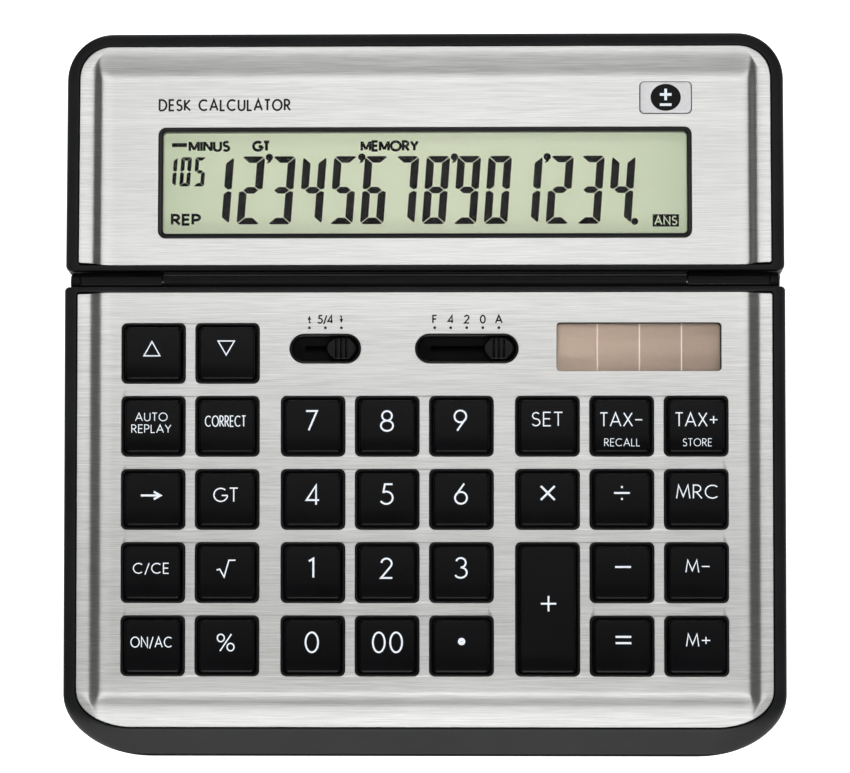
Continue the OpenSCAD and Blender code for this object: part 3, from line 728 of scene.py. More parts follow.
def build_housing(name, face, lower, inner_corners, outer_corners, seat, gap, deck_corners, nose, holes,
                  body):
    """A shell, and the deck under its faceplate. seat and gap are taken from the plate's front and back."""
    low, high = face.box(name + "_plate")
    seam_low, seam_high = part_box(lower)
    inner = panel(high.x - low.x + 0.4, low.y - seat[0], high.y + seat[1], *inner_corners)
    outer = panel(2 * seam_high.x / MM, seam_low.y / MM, seam_high.y / MM, *outer_corners)
    mesh = housing_mesh(face, inner, outer, seam_low.y if face is screen else -math.inf, nose)
    node = name + "_housing"
    shell = add_piece(node + "_shell", mesh, body, BLACK_ABS_PAINTED_LIGHTER, 40, [node])
    carve(shell, rod_mesh([(x, BARREL_R + HINGE_GAP) for x in (-HINGE_REACH, HINGE_REACH)]))
    finish_mesh(shell.data, 40)
    outline = panel(DECK_W, low.y + gap[0], high.y - gap[1], *deck_corners)
    sheet = cut_sheet(outline, holes, UNDER_Z, SEAT_Z - 0.03, 0.05)
    add_piece(name + "_deck", place_mesh(sheet, face), body, BLACK, 40)


def build_housings():
    build_housing("keypad", deck, "bottom_case", (FRONT_CORNER, (1.0, 1.0)), ((22.5, 15.3), (1.0, 1.0)),
                  (0.2, 0.1), (4.2, 0.3), ((10, 7), (0.5, 0.5)), lambda n: max(0.0, -n.y) ** 1.5,
                  deck_holes(2 * RING_W, 0.9, 2 * SLOT_RING), "base")
    build_housing("display", screen, "display_rear", ((1.2, 1.2), BACK_CORNER), ((1.3, 1.6), (12, 12)),
                  (0.1, 0.2), (0.3, 4.2), ((0.5, 0.5), (7, 7)), lambda n: 0.0,
                  [rounded(LCD_W - 2 * LCD_RING, LCD_D - 2 * LCD_RING, 1.0, 0, LCD_Y)], "display")


def bezel_ring(b, face, outline_at, width):
    """A raised ring with rounded shoulders: outline_at(inset) gives its outline drawn in by inset."""
    top = RING_TOP
    shoulder = [(0.05, SEAT_Z), (0.05, top - 0.28), (0.09, top - 0.12), (0.2, top - 0.02), (0.34, top),
                (width - 0.30, top - 0.02), (width - 0.12, top - 0.14), (width, top - 0.4), (width, UNDER_Z)]
    b.loft([lifted(face, outline_at(inset), z) for inset, z in shoulder], loop=True)


def build_bezels():
    b = Builder()
    for x, y, extra in KEYS.values():
        bezel_ring(b, deck, lambda inset: rounded(HOLE_W - 2 * inset, HOLE_D - 2 * inset + extra,
                                                  HOLE_R - inset * 0.75, x, y), RING_W)
    add_piece("key_bezels", b.mesh("bezels"), "base", BLACK_RING_PAINTED_LIGHTER, 50)
    b = Builder()
    for x, y, length in SLOTS.values():
        bezel_ring(b, deck, lambda inset: stadium(length - 2 * inset, SLOT_D - 2 * inset, x, y), SLOT_RING)
    add_piece("switch_bezels", b.mesh("bezels"), "base", BLACK_GLOSS, 50)
    for name, (x, y, length) in SLOTS.items():
        gap = [rounded(length - KNOB_L - 0.2, 1.5, 0.3, x, y)]
        outline = stadium(length - 1.4, SLOT_D - 1.4, x, y)
        sheet = cut_sheet(outline, gap, UNDER_Z - 0.6, UNDER_Z + 0.4, 0.04)
        add_piece(name + "_slot_floor", place_mesh(sheet, deck), "base", BLACK_DEEP)
    b = Builder()
    bezel_ring(b, screen, lambda inset: rounded(LCD_W - 2 * inset, LCD_D - 2 * inset, 2.0 - inset * 0.8,
                                                0, LCD_Y), LCD_RING)
    add_piece("lcd_bezel", b.mesh("bezel"), "display", BLACK_GLOSS, 50)


# Half length of the barrel, outer ends of the knuckles, and the chamfer of both
BARREL_X, KNUCKLE_X = 67.3, 88.6
ROD_CHAMFER = 0.18


def ledge(name, x0, x1, y0, y1, top, body):
    """A small flat-topped strip along the hinge. y and top are measured from the hinge's axis."""
    b = Builder()
    section = [(y0, top - 0.7), (y1, top - 0.7), (y1, top - 0.08), (y1 - 0.08, top), (y0 + 0.08, top),
               (y0, top - 0.08)]
    b.loft([on_hinge(x, section) for x in (x0, x1)])
    add_piece(name, b.mesh(name), body, BLACK_GLOSS, 30)


def turned(name, profile, body):
    return add_piece(name, rod_mesh(profile), body, BLACK, 30)


def build_hinge():
    r, e = BARREL_R, ROD_CHAMFER
    profile = [(-BARREL_X, r - e), (e - BARREL_X, r), (BARREL_X - e, r), (BARREL_X, r - e)]
    turned("hinge_barrel", profile, "display")
    web = Builder()
    y0, y1, z = 1.2, r + 1.2, 1.3
    section = ((y0, -z), (y1, -z - 0.3), (y1, z + 0.3), (y0, z))
    ends = (-BARREL_X + 0.3, BARREL_X - 0.3)
    web.loft([on_hinge(x, section) for x in ends])
    add_piece("hinge_web", web.mesh("web"), "display", BLACK, 30)
    ledge("barrel_ledge", -BARREL_X + 0.1, BARREL_X - 0.1, 1.25, 1.9, 2.2, "display")
    for side, name in ((-1, "left"), (1, "right")):
        inner, outer, end = side * (BARREL_X + 0.2), side * KNUCKLE_X, side * CAPS_HIGH.x / MM
        profile = [(inner, r - e), (inner + side * e, r), (outer - side * e, r), (outer, r - e)]
        turned("knuckle_" + name, profile, "base")
        near, far = sorted((inner, outer))
        ledge("knuckle_ledge_" + name, near + 0.1, far - 0.1, -1.0, -0.62, r + 0.02, "base")
        cap = turned("hinge_cap_" + name, [
            (outer + side * 0.05, r - e), (outer + side * (0.05 + e), r), (end - side * 0.7, r),
            (end - side * 0.25, r - 0.2), (end, r - 0.7), (end - side * 0.15, r - 1.3)], "base")
        if side < 0:
            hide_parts("hinge_caps")


# ---------------------------------------------------------------- keys

# A cap's crease: its distance from the key hole's front edge, and the drop of the top in front of it
CREASE = 5.5
CREASE_DROP = 0.5
KEY_TOP = FIELD_Z + 1.9


def crease_of(extra):
    """(place of a cap's crease, length of the slope in front of it), from the cap's middle."""
    crease_y = -(HOLE_D + extra) / 2 + CREASE
    return crease_y, crease_y + (CAP_D + extra) / 2


def key_cap(node):
    """Cap with a flange under the deck and rounded shoulders. Its top slopes down in front of a crease."""
    x, y, extra = KEYS[node]
    d = CAP_D + extra
    foot = deck.box(node)[0].z + 0.02
    crease_y, reach = crease_of(extra)
    # Each level: (inset, drop of the corner radius from 1.1, z)
    profile = [(-1.0, -0.5, foot), (-1.0, -0.5, UNDER_Z - 0.22), (-0.02, -0.5, UNDER_Z - 0.16),
               (0.0, 0.0, KEY_TOP - 0.8), (0.06, 0.0, KEY_TOP - 0.5), (0.2, 0.05, KEY_TOP - 0.24),
               (0.38, 0.1, KEY_TOP - 0.09), (0.62, 0.15, KEY_TOP)]
    rings = []
    for inset, tighter, z in profile:
        outline = rounded(CAP_W - 2 * inset, d - 2 * inset, 1.1 - tighter, steps=6)
        rings.append([Vector((px, py, z)) for px, py in outline])
    b = Builder()
    b.loft(rings)
    mesh = b.mesh(node)
    bm = opened(mesh)
    slit(bm, 1, crease_y)
    for v in bm.verts:
        if v.co.y < crease_y - 1e-4 and v.co.z > KEY_TOP - 1.0:
            v.co.z -= CREASE_DROP * (crease_y - v.co.y) / reach
    written(bm, mesh)
    creased = []
    for edge in mesh.edges:
        p, q = (mesh.vertices[i].co for i in edge.vertices)
        if max(abs(p.y - crease_y), abs(q.y - crease_y)) < 1e-3 and abs(p.x - q.x) > 5:
            creased.append(edge.index)
    for v in mesh.vertices:
        v.co = deck.world(v.co.x + x, v.co.y + y, v.co.z)
    add_piece("cap_" + node[4:], mesh, node, KEY, 30, [node])
    for index in creased:
        mesh.edges[index].use_edge_sharp = True


# ---------------------------------------------------------------- stroke lettering


def ell(x, y, rx, ry, a0=90, a1=450):
    """A stroke along an ellipse, from the angle a0 to a1 in degrees."""
    return ("o", x, y, rx, ry, a0, a1)


# Each glyph: width, then its strokes in a cell 1 high. A stroke is a list of points or an ell()
GLYPHS = {
    "A": (0.74, [[(0.0, 0), (0.37, 1), (0.74, 0)], [(0.13, 0.33), (0.61, 0.33)]]),
    "C": (0.80, [ell(0.46, 0.5, 0.44, 0.48, 48, 312)]),
    "E": (0.46, [[(0.46, 1), (0.02, 1), (0.02, 0), (0.46, 0)], [(0.02, 0.52), (0.42, 0.52)]]),
    "F": (0.44, [[(0.44, 1), (0.02, 1), (0.02, 0)], [(0.02, 0.52), (0.38, 0.52)]]),
    "G": (0.84, [ell(0.46, 0.5, 0.44, 0.48, 48, 355), [(0.90, 0.46), (0.52, 0.46)]]),
    "I": (0.06, [[(0.03, 0), (0.03, 1)]]),
    "L": (0.42, [[(0.02, 1), (0.02, 0), (0.42, 0)]]),
    "M": (0.82, [[(0.0, 0), (0.12, 1), (0.41, 0.14), (0.70, 1), (0.82, 0)]]),
    "m": (0.8, [[(0.02, 0), (0.02, 1)], [(0.04, 0.96), (0.4, 0.12)], [(0.4, 0.12), (0.76, 0.96)],
                [(0.78, 1), (0.78, 0)]]),
    "n": (0.66, [[(0.02, 0), (0.02, 1)], [(0.04, 0.96), (0.62, 0.04)], [(0.64, 1), (0.64, 0)]]),
    "N": (0.66, [[(0.02, 0), (0.02, 1), (0.64, 0), (0.64, 1)]]),
    "O": (0.88, [ell(0.44, 0.5, 0.43, 0.49)]),
    "P": (0.50, [[(0.02, 0), (0.02, 1), (0.24, 1)], ell(0.24, 0.73, 0.25, 0.27, 90, -90),
                 [(0.24, 0.46), (0.02, 0.46)]]),
    "R": (0.54, [[(0.02, 0), (0.02, 1), (0.22, 1)], ell(0.22, 0.74, 0.25, 0.26, 90, -90),
                 [(0.22, 0.48), (0.02, 0.48)], [(0.20, 0.48), (0.54, 0)]]),
    "S": (0.50, [ell(0.26, 0.745, 0.21, 0.235, 35, 270), ell(0.25, 0.26, 0.24, 0.25, 90, -150)]),
    "T": (0.52, [[(0.26, 0), (0.26, 1)], [(0, 1), (0.52, 1)]]),
    "U": (0.62, [[(0.02, 1), (0.02, 0.30)], ell(0.31, 0.30, 0.29, 0.29, 180, 360),
                 [(0.60, 0.30), (0.60, 1)]]),
    "X": (0.62, [[(0, 0), (0.60, 1)], [(0.02, 1), (0.62, 0)]]),
    "Y": (0.60, [[(0, 1), (0.30, 0.46), (0.60, 1)], [(0.30, 0.46), (0.30, 0)]]),
    "K": (0.56, [[(0.02, 0), (0.02, 1)], [(0.52, 1), (0.04, 0.48), (0.56, 0)]]),
    "D": (0.70, [[(0.02, 0), (0.02, 1), (0.22, 1)], ell(0.22, 0.5, 0.47, 0.5, 90, -90),
                 [(0.22, 0), (0.02, 0)]]),
    "0": (0.56, [ell(0.28, 0.5, 0.26, 0.49)]),
    "1": (0.30, [[(0.02, 0.86), (0.24, 1.0), (0.24, 0)]]),
    "2": (0.54, [ell(0.27, 0.735, 0.24, 0.255, 172, -38), [(0.463, 0.585), (0.02, 0.0), (0.54, 0.0)]]),
    "3": (0.52, [ell(0.24, 0.755, 0.215, 0.235, 160, -90), ell(0.23, 0.26, 0.27, 0.26, 90, -152)]),
    "4": (0.58, [[(0.44, 0), (0.44, 1), (0.0, 0.24), (0.58, 0.24)]]),
    "5": (0.54, [[(0.50, 1), (0.16, 1), (0.08, 0.56)], ell(0.22, 0.32, 0.29, 0.31, 118, -148)]),
    "6": (0.56, [ell(0.28, 0.30, 0.26, 0.29), [(0.42, 1), (0.055, 0.42)]]),
    "7": (0.52, [[(0.0, 1), (0.51, 1), (0.12, 0)]]),
    "8": (0.54, [ell(0.27, 0.755, 0.205, 0.235), ell(0.27, 0.265, 0.255, 0.255)]),
    "9": (0.56, [ell(0.28, 0.70, 0.26, 0.29), [(0.14, 0), (0.505, 0.58)]]),
    "/": (0.36, [[(0.0, -0.13), (0.36, 1.02)]]),
    "+": (0.56, [[(0.0, 0.48), (0.56, 0.48)], [(0.28, 0.20), (0.28, 0.76)]]),
    "-": (0.50, [[(0.0, 0.48), (0.50, 0.48)]]),
    "=": (0.62, [[(0.0, 0.34), (0.62, 0.34)], [(0.0, 0.66), (0.62, 0.66)]]),
    "x": (0.62, [[(0.02, 0.16), (0.60, 0.84)], [(0.02, 0.84), (0.60, 0.16)]]),
    ":": (0.62, [[(0.0, 0.5), (0.62, 0.5)], [(0.31, 0.84), (0.31, 0.985)], [(0.31, 0.015), (0.31, 0.16)]]),
    "%": (0.88, [[(0.72, 1), (0.16, 0)], ell(0.20, 0.77, 0.17, 0.22), ell(0.68, 0.23, 0.17, 0.22)]),
    ".": (0.20, [ell(0.10, 0.5, 0.05, 0.05)]),
    "v": (0.86, [[(0.0, 0.42), (0.14, 0.48), (0.34, 0.02), (0.56, 1.0), (0.86, 1.0)]]),
    ">": (1.0, [[(0.0, 0.5), (0.98, 0.5)], [(0.66, 0.74), (1.0, 0.5), (0.66, 0.26)]]),
    "^": (0.94, [[(0.47, 0.94), (0.05, 0.0), (0.89, 0.0), (0.47, 0.94), (0.26, 0.47)]]),
    "_": (0.94, [[(0.47, 0.0), (0.05, 0.94), (0.89, 0.94), (0.47, 0.0), (0.26, 0.47)]]),
    " ": (0.34, []),
}


def stroke_points(stroke, steps=22):
    """Points along a stroke, and whether it closes on itself. steps are for half a turn."""
    if stroke[0] != "o":
        return list(stroke), False
    _, x, y, rx, ry, a0, a1 = stroke
    closed = abs(a1 - a0) >= 360
    count = max(4, int(steps * abs(a1 - a0) / 180))
    points = []
    for i in range(count + (0 if closed else 1)):
        a = math.radians(a0 + (a1 - a0) * i / count)
        points.append((x + rx * math.cos(a), y + ry * math.sin(a)))
    return points, closed


# Levels of printed ink, of LCD segments, and of a print on a print: (underside, top)
INK = (-0.03, 0.02)
SEGMENT = (0.0, 0.05)
OVERPRINT = (0.01, 0.04)


def ribbon(b, points, closed, width, place, levels=INK):
    """A flat printed stroke with mitred corners. place(x, y, z) gives the row's point."""
    if closed and (points[0][0] - points[-1][0]) ** 2 + (points[0][1] - points[-1][1]) ** 2 < 1e-10:
        points = points[:-1]
    spots = [Vector(p) for p in points]
    n = len(spots)
    sides = []
    for i, p in enumerate(spots):
        before = (p - spots[i - 1]).normalized() if closed or i > 0 else None
        after = (spots[(i + 1) % n] - p).normalized() if closed or i < n - 1 else before
        if before is None:
            before = after
        n0, n1 = Vector((-before.y, before.x)), Vector((-after.y, after.x))
        mid, reach = n0 + n1, 1.0
        if mid.length < 0.3:
            mid = n0
        else:
            mid.normalize()
            reach = min(1.0 / max(mid.dot(n0), 0.2), 2.6)
        off = mid * (width / 2 * reach)
        sides.append((p + off, p - off))
    (l0, r0), (l1, r1) = [[b.ring([place(side[k].x, side[k].y, z) for side in sides]) for k in (0, 1)]
                          for z in levels]
    for i in range(n if closed else n - 1):
        j = (i + 1) % n
        b.faces += [(l1[i], r1[i], r1[j], l1[j]), (l0[j], r0[j], r0[i], l0[i]),
                    (l0[i], l1[i], l1[j], l0[j]), (r0[j], r1[j], r1[i], r0[i])]
    if not closed:
        b.faces += [(l0[0], r0[0], r1[0], l1[0]), (l1[-1], r1[-1], r0[-1], l0[-1])]


def add_flat(b, outline, place, levels=INK):
    """A flat shape with a little thickness."""
    area = sum(p[0] * q[1] - q[0] * p[1] for p, q in zip(outline, outline[1:] + outline[:1]))
    points = outline if area > 0 else list(reversed(outline))
    b.loft([[place(x, y, z) for x, y in points] for z in levels])


def text_width(text, height, spacing):
    return sum(GLYPHS[c][0] * height for c in text) + spacing * height * (len(text) - 1)


def write(b, text, x, y, height, weight, place, levels=INK, spacing=0.16, stretch=1.0, anchor="middle"):
    """Strokes of a line of text, centred on x (or starting there), with its foot at y."""
    pen = x - text_width(text, height, spacing) * stretch / 2 if anchor == "middle" else x
    for c in text:
        for stroke in GLYPHS[c][1]:
            points, closed = stroke_points(stroke)
            placed = [(pen + px * height * stretch, y + py * height) for px, py in points]
            ribbon(b, placed, closed and points[0] != points[-1], weight, place, levels)
        pen += (GLYPHS[c][0] + spacing) * height * stretch


# Legends of each key, in millimetres from the key's middle: (text, x, foot, width, height, stroke width)
LEGENDS = {
    "key_up": [("^", -0.25, -0.85, 4.4, 3.95, 0.31)],
    "key_down": [("_", -0.2, -0.65, 4.5, 3.9, 0.31)],
    "key_auto_replay": [("AUTO", -0.35, 1.25, 8.35, 2.25, 0.22), ("REPLAY", -0.35, -1.75, 10.25, 2.2, 0.22)],
    "key_correct": [("CORRECT", -0.35, -0.2, 10.55, 2.95, 0.27)],
    "key_7": [("7", -0.3, -1.3, 3.25, 5.4, 0.48)],
    "key_8": [("8", 0.0, -1.45, 3.55, 5.5, 0.46)],
    "key_9": [("9", -0.25, -1.4, 3.45, 5.6, 0.46)],
    "key_set": [("SET", 0.0, -0.1, 7.95, 3.75, 0.31)],
    "key_tax_minus": [("TAX-", -0.2, -0.2, 11.0, 3.7, 0.31), ("RECALL", 0.05, -5.2, 9.15, 2.05, 0.17)],
    "key_tax_plus": [("TAX+", 0.0, -0.2, 11.0, 3.7, 0.31), ("STORE", 0.25, -5.2, 7.45, 2.05, 0.17)],
    "key_back": [(">", -0.45, -0.2, 5.55, 2.4, 0.52)],
    "key_grand_total": [("GT", -0.2, -0.75, 6.45, 3.8, 0.34)],
    "key_4": [("4", 0.05, -1.6, 3.65, 5.4, 0.46)],
    "key_5": [("5", -0.05, -1.4, 3.5, 5.5, 0.46)],
    "key_6": [("6", -0.1, -1.35, 3.5, 5.6, 0.46)],
    "key_multiply": [("x", 0.05, -0.4, 4.05, 4.05, 0.52)],
    "key_divide": [(":", -0.05, -0.4, 4.5, 4.05, 0.48)],
    "key_memory_recall": [("MRC", 0.05, 0.1, 10.65, 3.7, 0.31)],
    "key_clear": [("C/CE", -0.3, -0.65, 9.3, 3.25, 0.28)],
    "key_square_root": [("v", -0.1, -1.25, 5.15, 4.6, 0.34)],
    "key_1": [("1", -0.35, -1.45, 1.6, 5.3, 0.48)],
    "key_2": [("2", -0.05, -1.55, 3.3, 5.4, 0.46)],
    "key_3": [("3", -0.1, -1.5, 3.4, 5.5, 0.46)],
    "key_plus": [("+", 0.2, -0.7, 4.4, 4.4, 0.46)],
    "key_minus": [("-", 0.2, 1.25, 4.5, 0.6, 0.48)],
    "key_memory_minus": [("M-", 0.2, 0.0, 6.3, 3.4, 0.29)],
    "key_on": [("ON/AC", -0.2, -0.75, 10.65, 3.25, 0.28)],
    "key_percent": [("%", -0.15, -1.4, 4.6, 4.65, 0.34)],
    "key_0": [("0", -0.15, -1.75, 3.65, 5.5, 0.46)],
    "key_00": [("00", 0.15, -1.75, 7.9, 5.5, 0.46)],
    "key_point": [(".", 0.05, 0.3, 1.85, 1.85, 0.79)],
    "key_equals": [("=", 0.25, 0.6, 4.5, 2.1, 0.52)],
    "key_memory_plus": [("M+", 0.3, -0.1, 6.3, 3.45, 0.29)],
}


def write_within(b, text, x, y, wide, high, weight, place, levels=INK, spacing=0.2):
    """A line of text stretched so that its ink is wide by high, with its middle at x and its foot at y."""
    strokes = []
    pen = 0.0
    for c in text:
        for stroke in GLYPHS[c][1]:
            points, closed = stroke_points(stroke)
            strokes.append(([(pen + px, py) for px, py in points], closed))
        pen += GLYPHS[c][0] + spacing
    xs, ys = zip(*[p for points, closed in strokes for p in points])
    scale_x = (wide - weight) / max(max(xs) - min(xs), 0.01)
    scale_y = max(high - weight, 0.001) / max(max(ys) - min(ys), 0.01)
    left, foot = x - (wide - weight) / 2, y + weight / 2
    for points, closed in strokes:
        placed = [(left + (px - min(xs)) * scale_x, foot + (py - min(ys)) * scale_y) for px, py in points]
        ribbon(b, placed, closed and placed[0] != placed[-1], weight, place, levels)


def build_keys():
    for node, (x, y, extra) in KEYS.items():
        key_cap(node)
        crease_y, reach = crease_of(extra)
        b = Builder()

        def place(px, py, z):
            """Lays the ink on the cap's top, also in front of the crease."""
            drop = CREASE_DROP * max(0.0, crease_y - (py - y)) / reach
            return deck.world(px, py, KEY_TOP + z - drop)

        for text, dx, foot, wide, high, weight in LEGENDS[node]:
            write_within(b, text, x + dx, y + foot, wide, high, weight, place)
        add_piece("legend_" + node[4:], b.mesh("legend"), node, WHITE_INK)


# ---------------------------------------------------------------- switches, solar cells and prints

# Grip grooves across a switch knob: their places, half widths at the foot and at the top, and depth
GROOVES = (-1.3, 0.0, 1.3)
GROOVE_FOOT, GROOVE_TOP, GROOVE_DEPTH = 0.08, 0.3, 0.4
KNOB_TOP = FIELD_Z + 1.0


def build_knobs():
    for name in SLOTS:
        node = name + "_knob"
        middle = deck.centre(node)
        profile = [(0.0, UNDER_Z + 0.62), (0.0, KNOB_TOP - 0.55), (0.08, KNOB_TOP - 0.28),
                   (0.26, KNOB_TOP - 0.08), (0.5, KNOB_TOP)]
        b = Builder()
        b.loft([[Vector((px, py, z)) for px, py in stadium(KNOB_L - 2 * inset, SLOT_D - 2.1 - 2 * inset)]
                for inset, z in profile])
        mesh = b.mesh(node)
        bm = opened(mesh)
        cuts = [g + side * w for g in GROOVES for side in (-1, 1) for w in (GROOVE_FOOT, GROOVE_TOP)]
        for place_x in sorted(cuts + [0.65, -0.65]):
            slit(bm, 0, place_x)
        for v in bm.verts:
            if v.co.z > KNOB_TOP - 0.5 and min(abs(v.co.x - g) for g in GROOVES) < 0.2:
                v.co.z -= GROOVE_DEPTH
        written(bm, mesh)
        for v in mesh.vertices:
            v.co = deck.world(v.co.x + middle.x, v.co.y + middle.y, v.co.z)
        add_piece(name + "_knob_cap", mesh, name + "_switch", KNOB, 30, [node])


def flat_block(name, face, outline, z0, z1, edge, body, material, replaces=()):
    mesh = place_mesh(cut_sheet(outline, [], z0, z1, edge), face)
    return add_piece(name, mesh, body, material, 40, replaces)


CELL_GAPS = (-10.6, 0.18, 10.97)
CELL_GAP = 0.36


def build_solar():
    """Four cells side by side under the window, with light scribed gaps between them."""
    edges = [-SOLAR_W / 2 - 0.3, *CELL_GAPS, SOLAR_W / 2 + 0.3]
    z = UNDER_Z - 0.05
    for i, (a, c) in enumerate(zip(edges, edges[1:])):
        outline = rounded(c - a - CELL_GAP, SOLAR_D + 1.4, 0.05, SOLAR_X + (a + c) / 2, SOLAR_Y)
        flat_block(f"solar_cell_{i + 1}", deck, outline, z - 0.4, z, 0.03, "base", SOLAR,
                   [] if i else ["solar_panel"])
    # A black frame under the window, its opening shifted left and towards the front so that a dark band
    # shows only along the back and right edges: painted shadow of the hole's walls
    shaded_frame = rounded(SOLAR_W - 0.04, SOLAR_D - 0.04, 0.98, SOLAR_X, SOLAR_Y)
    opening = rounded(SOLAR_W - 0.36, SOLAR_D - 0.38, 0.9, SOLAR_X - 0.15, SOLAR_Y - 0.16)
    mesh = cut_sheet(shaded_frame, [opening], SOLAR_HIGH.z + 0.01, SOLAR_HIGH.z + 0.2, 0.005)
    add_piece("solar_shadow_frame", place_mesh(mesh, deck), "base", BLACK_GLOSS, 40)
    backing = rounded(SOLAR_W + 3, SOLAR_D + 3, 0.3, SOLAR_X, SOLAR_Y)
    flat_block("solar_backing", deck, backing, z - 0.9, z - 0.03, 0.05, "base", SOLAR_LINE)


# Switch marks, measured from a slot's middle line in millimetres
DOT, DOT_RISE = 0.72, 5.35
LABEL_RISE, LABEL_HIGH, LABEL_WEIGHT = 6.55, 1.95, 0.38
ARROW_MIDDLE = 0.96


def build_plate_prints():
    """Position dots and generic labels of the slide switches, and the caption over the display."""
    b = Builder()
    place = deck.at_level(FIELD_Z)

    def dots(x, y, count, step):
        """A dot at each position, and the places of the dots."""
        places = [x + (i - (count - 1) / 2) * step for i in range(count)]
        for spot in places:
            add_flat(b, stroke_points(ell(spot, y + DOT_RISE, DOT / 2, DOT / 2))[0], place)
        return places

    x, y, _ = SLOTS["rounding"]
    left, middle, right = dots(x, y, 3, JOINTS["rounding_slide"]["range_m"][0] / MM / -2)
    foot = y + LABEL_RISE
    write(b, "5/4", middle, foot, LABEL_HIGH, LABEL_WEIGHT, place, stretch=1.06)
    for spot, up in ((left, 1), (right, -1)):
        # An arrow with a bent tail, up on the left and down on the right
        def at(px, py):
            return spot + up * px, foot + ARROW_MIDDLE + up * py
        ribbon(b, [at(0.42, -0.84), at(0.0, -0.84), at(0.0, 0.3)], False, 0.28, place)
        add_flat(b, [at(-0.48, -0.1), at(0.48, -0.1), at(0.0, 0.98)], place)
    x, y, _ = SLOTS["decimal"]
    places = dots(x, y, 5, JOINTS["decimal_slide"]["range_m"][0] / MM / -4)
    for spot, letter in zip(places, "F420A"):
        write(b, letter, spot, foot, LABEL_HIGH, LABEL_WEIGHT, place, stretch=1.15)
    add_piece("switch_labels", b.mesh("labels"), "base", DARK_INK)
    b = Builder()
    write(b, "DESK CALCULATOR", -68.6, 44.4, 2.75, 0.50, screen.at_level(FIELD_Z), INK, 0.26, 0.97, "start")
    add_piece("faceplate_caption", b.mesh("caption"), "display", DARK_INK)


def build_badge():
    """Pale badge in a thin dark joint, with a plain dark roundel that carries a plus-minus sign."""
    low, high = screen.box("badge")
    x, y, _ = (low + high) / 2
    w, d = high.x - low.x, high.y - low.y
    flat_block("badge_plate", screen, rounded(w - 0.3, d - 0.3, 1.0, x, y), FIELD_Z + 0.01, high.z, 0.12,
               "display", BADGE, ["badge"])
    place = screen.at_level(high.z)
    b = Builder()
    ribbon(b, rounded(w - 0.1, d - 0.1, 1.1, x, y), True, 0.28, screen.at_level(FIELD_Z))
    add_piece("badge_joint", b.mesh("joint"), "display", GREY_INK)
    b = Builder()
    add_flat(b, stroke_points(ell(x, y, 3.9, 3.5, 0, 360), 40)[0], place)
    add_piece("badge_roundel", b.mesh("roundel"), "display", DARK_INK)
    b = Builder()
    for stroke in (((-1.5, 0.75), (1.5, 0.75)), ((0.0, -0.75), (0.0, 2.25)), ((-1.5, -1.9), (1.5, -1.9))):
        ribbon(b, [(x + px, y + py) for px, py in stroke], False, 0.66, place, OVERPRINT)
    add_piece("badge_sign", b.mesh("sign"), "display", WHITE_INK)


# ---------------------------------------------------------------- liquid crystal display

# A digit and a small digit: (width, height, width of its upright strokes, width of its level strokes)
DIGIT = (6.05, 17.7, 2.0, 1.7)
SMALL_DIGIT = (2.75, 7.6, 1.0, 0.9)
DIGIT_PITCH, SMALL_PITCH = 7.975, 3.67
SLANT = math.tan(math.radians(4.2))
SEGMENTS = {"0": "abcdef", "1": "bc", "2": "abged", "3": "abgcd", "4": "fgbc", "5": "afgcd", "6": "afgedc",
            "7": "abc", "8": "abcdefg", "9": "abcfgd"}


def segment_outline(name, w, h, tv, th, g):
    """Outline of one segment of a digit: tv and th are its strokes' widths, g half the gap between two."""
    m = h / 2
    r = th * 0.45
    if name == "a":
        return [(r + g, h), (w - r - g, h), (w - r * 0.3 - g, h - r * 0.3), (w - tv - g * 0.4, h - th),
                (tv + g, h - th), (r * 0.3 + g, h - r * 0.3)]
    if name == "g":
        return [(tv * 0.55, m), (tv + g, m + th / 2), (w - tv - g, m + th / 2), (w - tv * 0.55, m),
                (w - tv - g, m - th / 2), (tv + g, m - th / 2)]
    if name == "b":
        return [(w, h - r - g), (w, m + th * 0.3), (w - tv * 0.45, m + g * 1.5), (w - tv, m + th * 0.5 + g),
                (w - tv, h - th - g * 1.5), (w - r * 0.3, h - r * 0.3 - g * 1.5)]
    if name == "f":
        return [(w - x, y) for x, y in segment_outline("b", w, h, tv, th, g)]
    upper = {"d": "a", "c": "b", "e": "f"}[name]
    return [(x, h - y) for x, y in segment_outline(upper, w, h, tv, th, g)]


def lcd_digit(b, digit, x, y, shape, place):
    def slanted(px, py, z):
        return place(x + px + py * SLANT, y + py, z)

    for name in SEGMENTS[digit]:
        add_flat(b, segment_outline(name, *shape, shape[1] * 0.007), slanted, SEGMENT)


def comma(x, y, size):
    """A raised comma: a round dot with a tail that curls to the left under it."""
    dot = stroke_points(ell(x, y, size, size, -60, 210))[0]
    tail = ((-0.3, -1.0), (-0.75, -1.75), (0.35, -1.3))
    return dot + [(x + size * px, y + size * py) for px, py in tail]


# Words of the display, in millimetres from its lower left corner: (text, middle, foot, width, height,
# stroke width)
LCD_WORDS = [
    ("-", 4.1, 22.72, 4.9, 1.02, 1.02),
    ("mInUS", 11.85, 21.4, 10.8, 3.0, 0.67),
    ("GT", 25.3, 21.4, 4.8, 3.0, 0.74),
    ("mEmORY", 58.5, 21.4, 15.1, 3.0, 0.67),
    ("REP", 5.9, 2.2, 7.8, 3.15, 0.70),
]


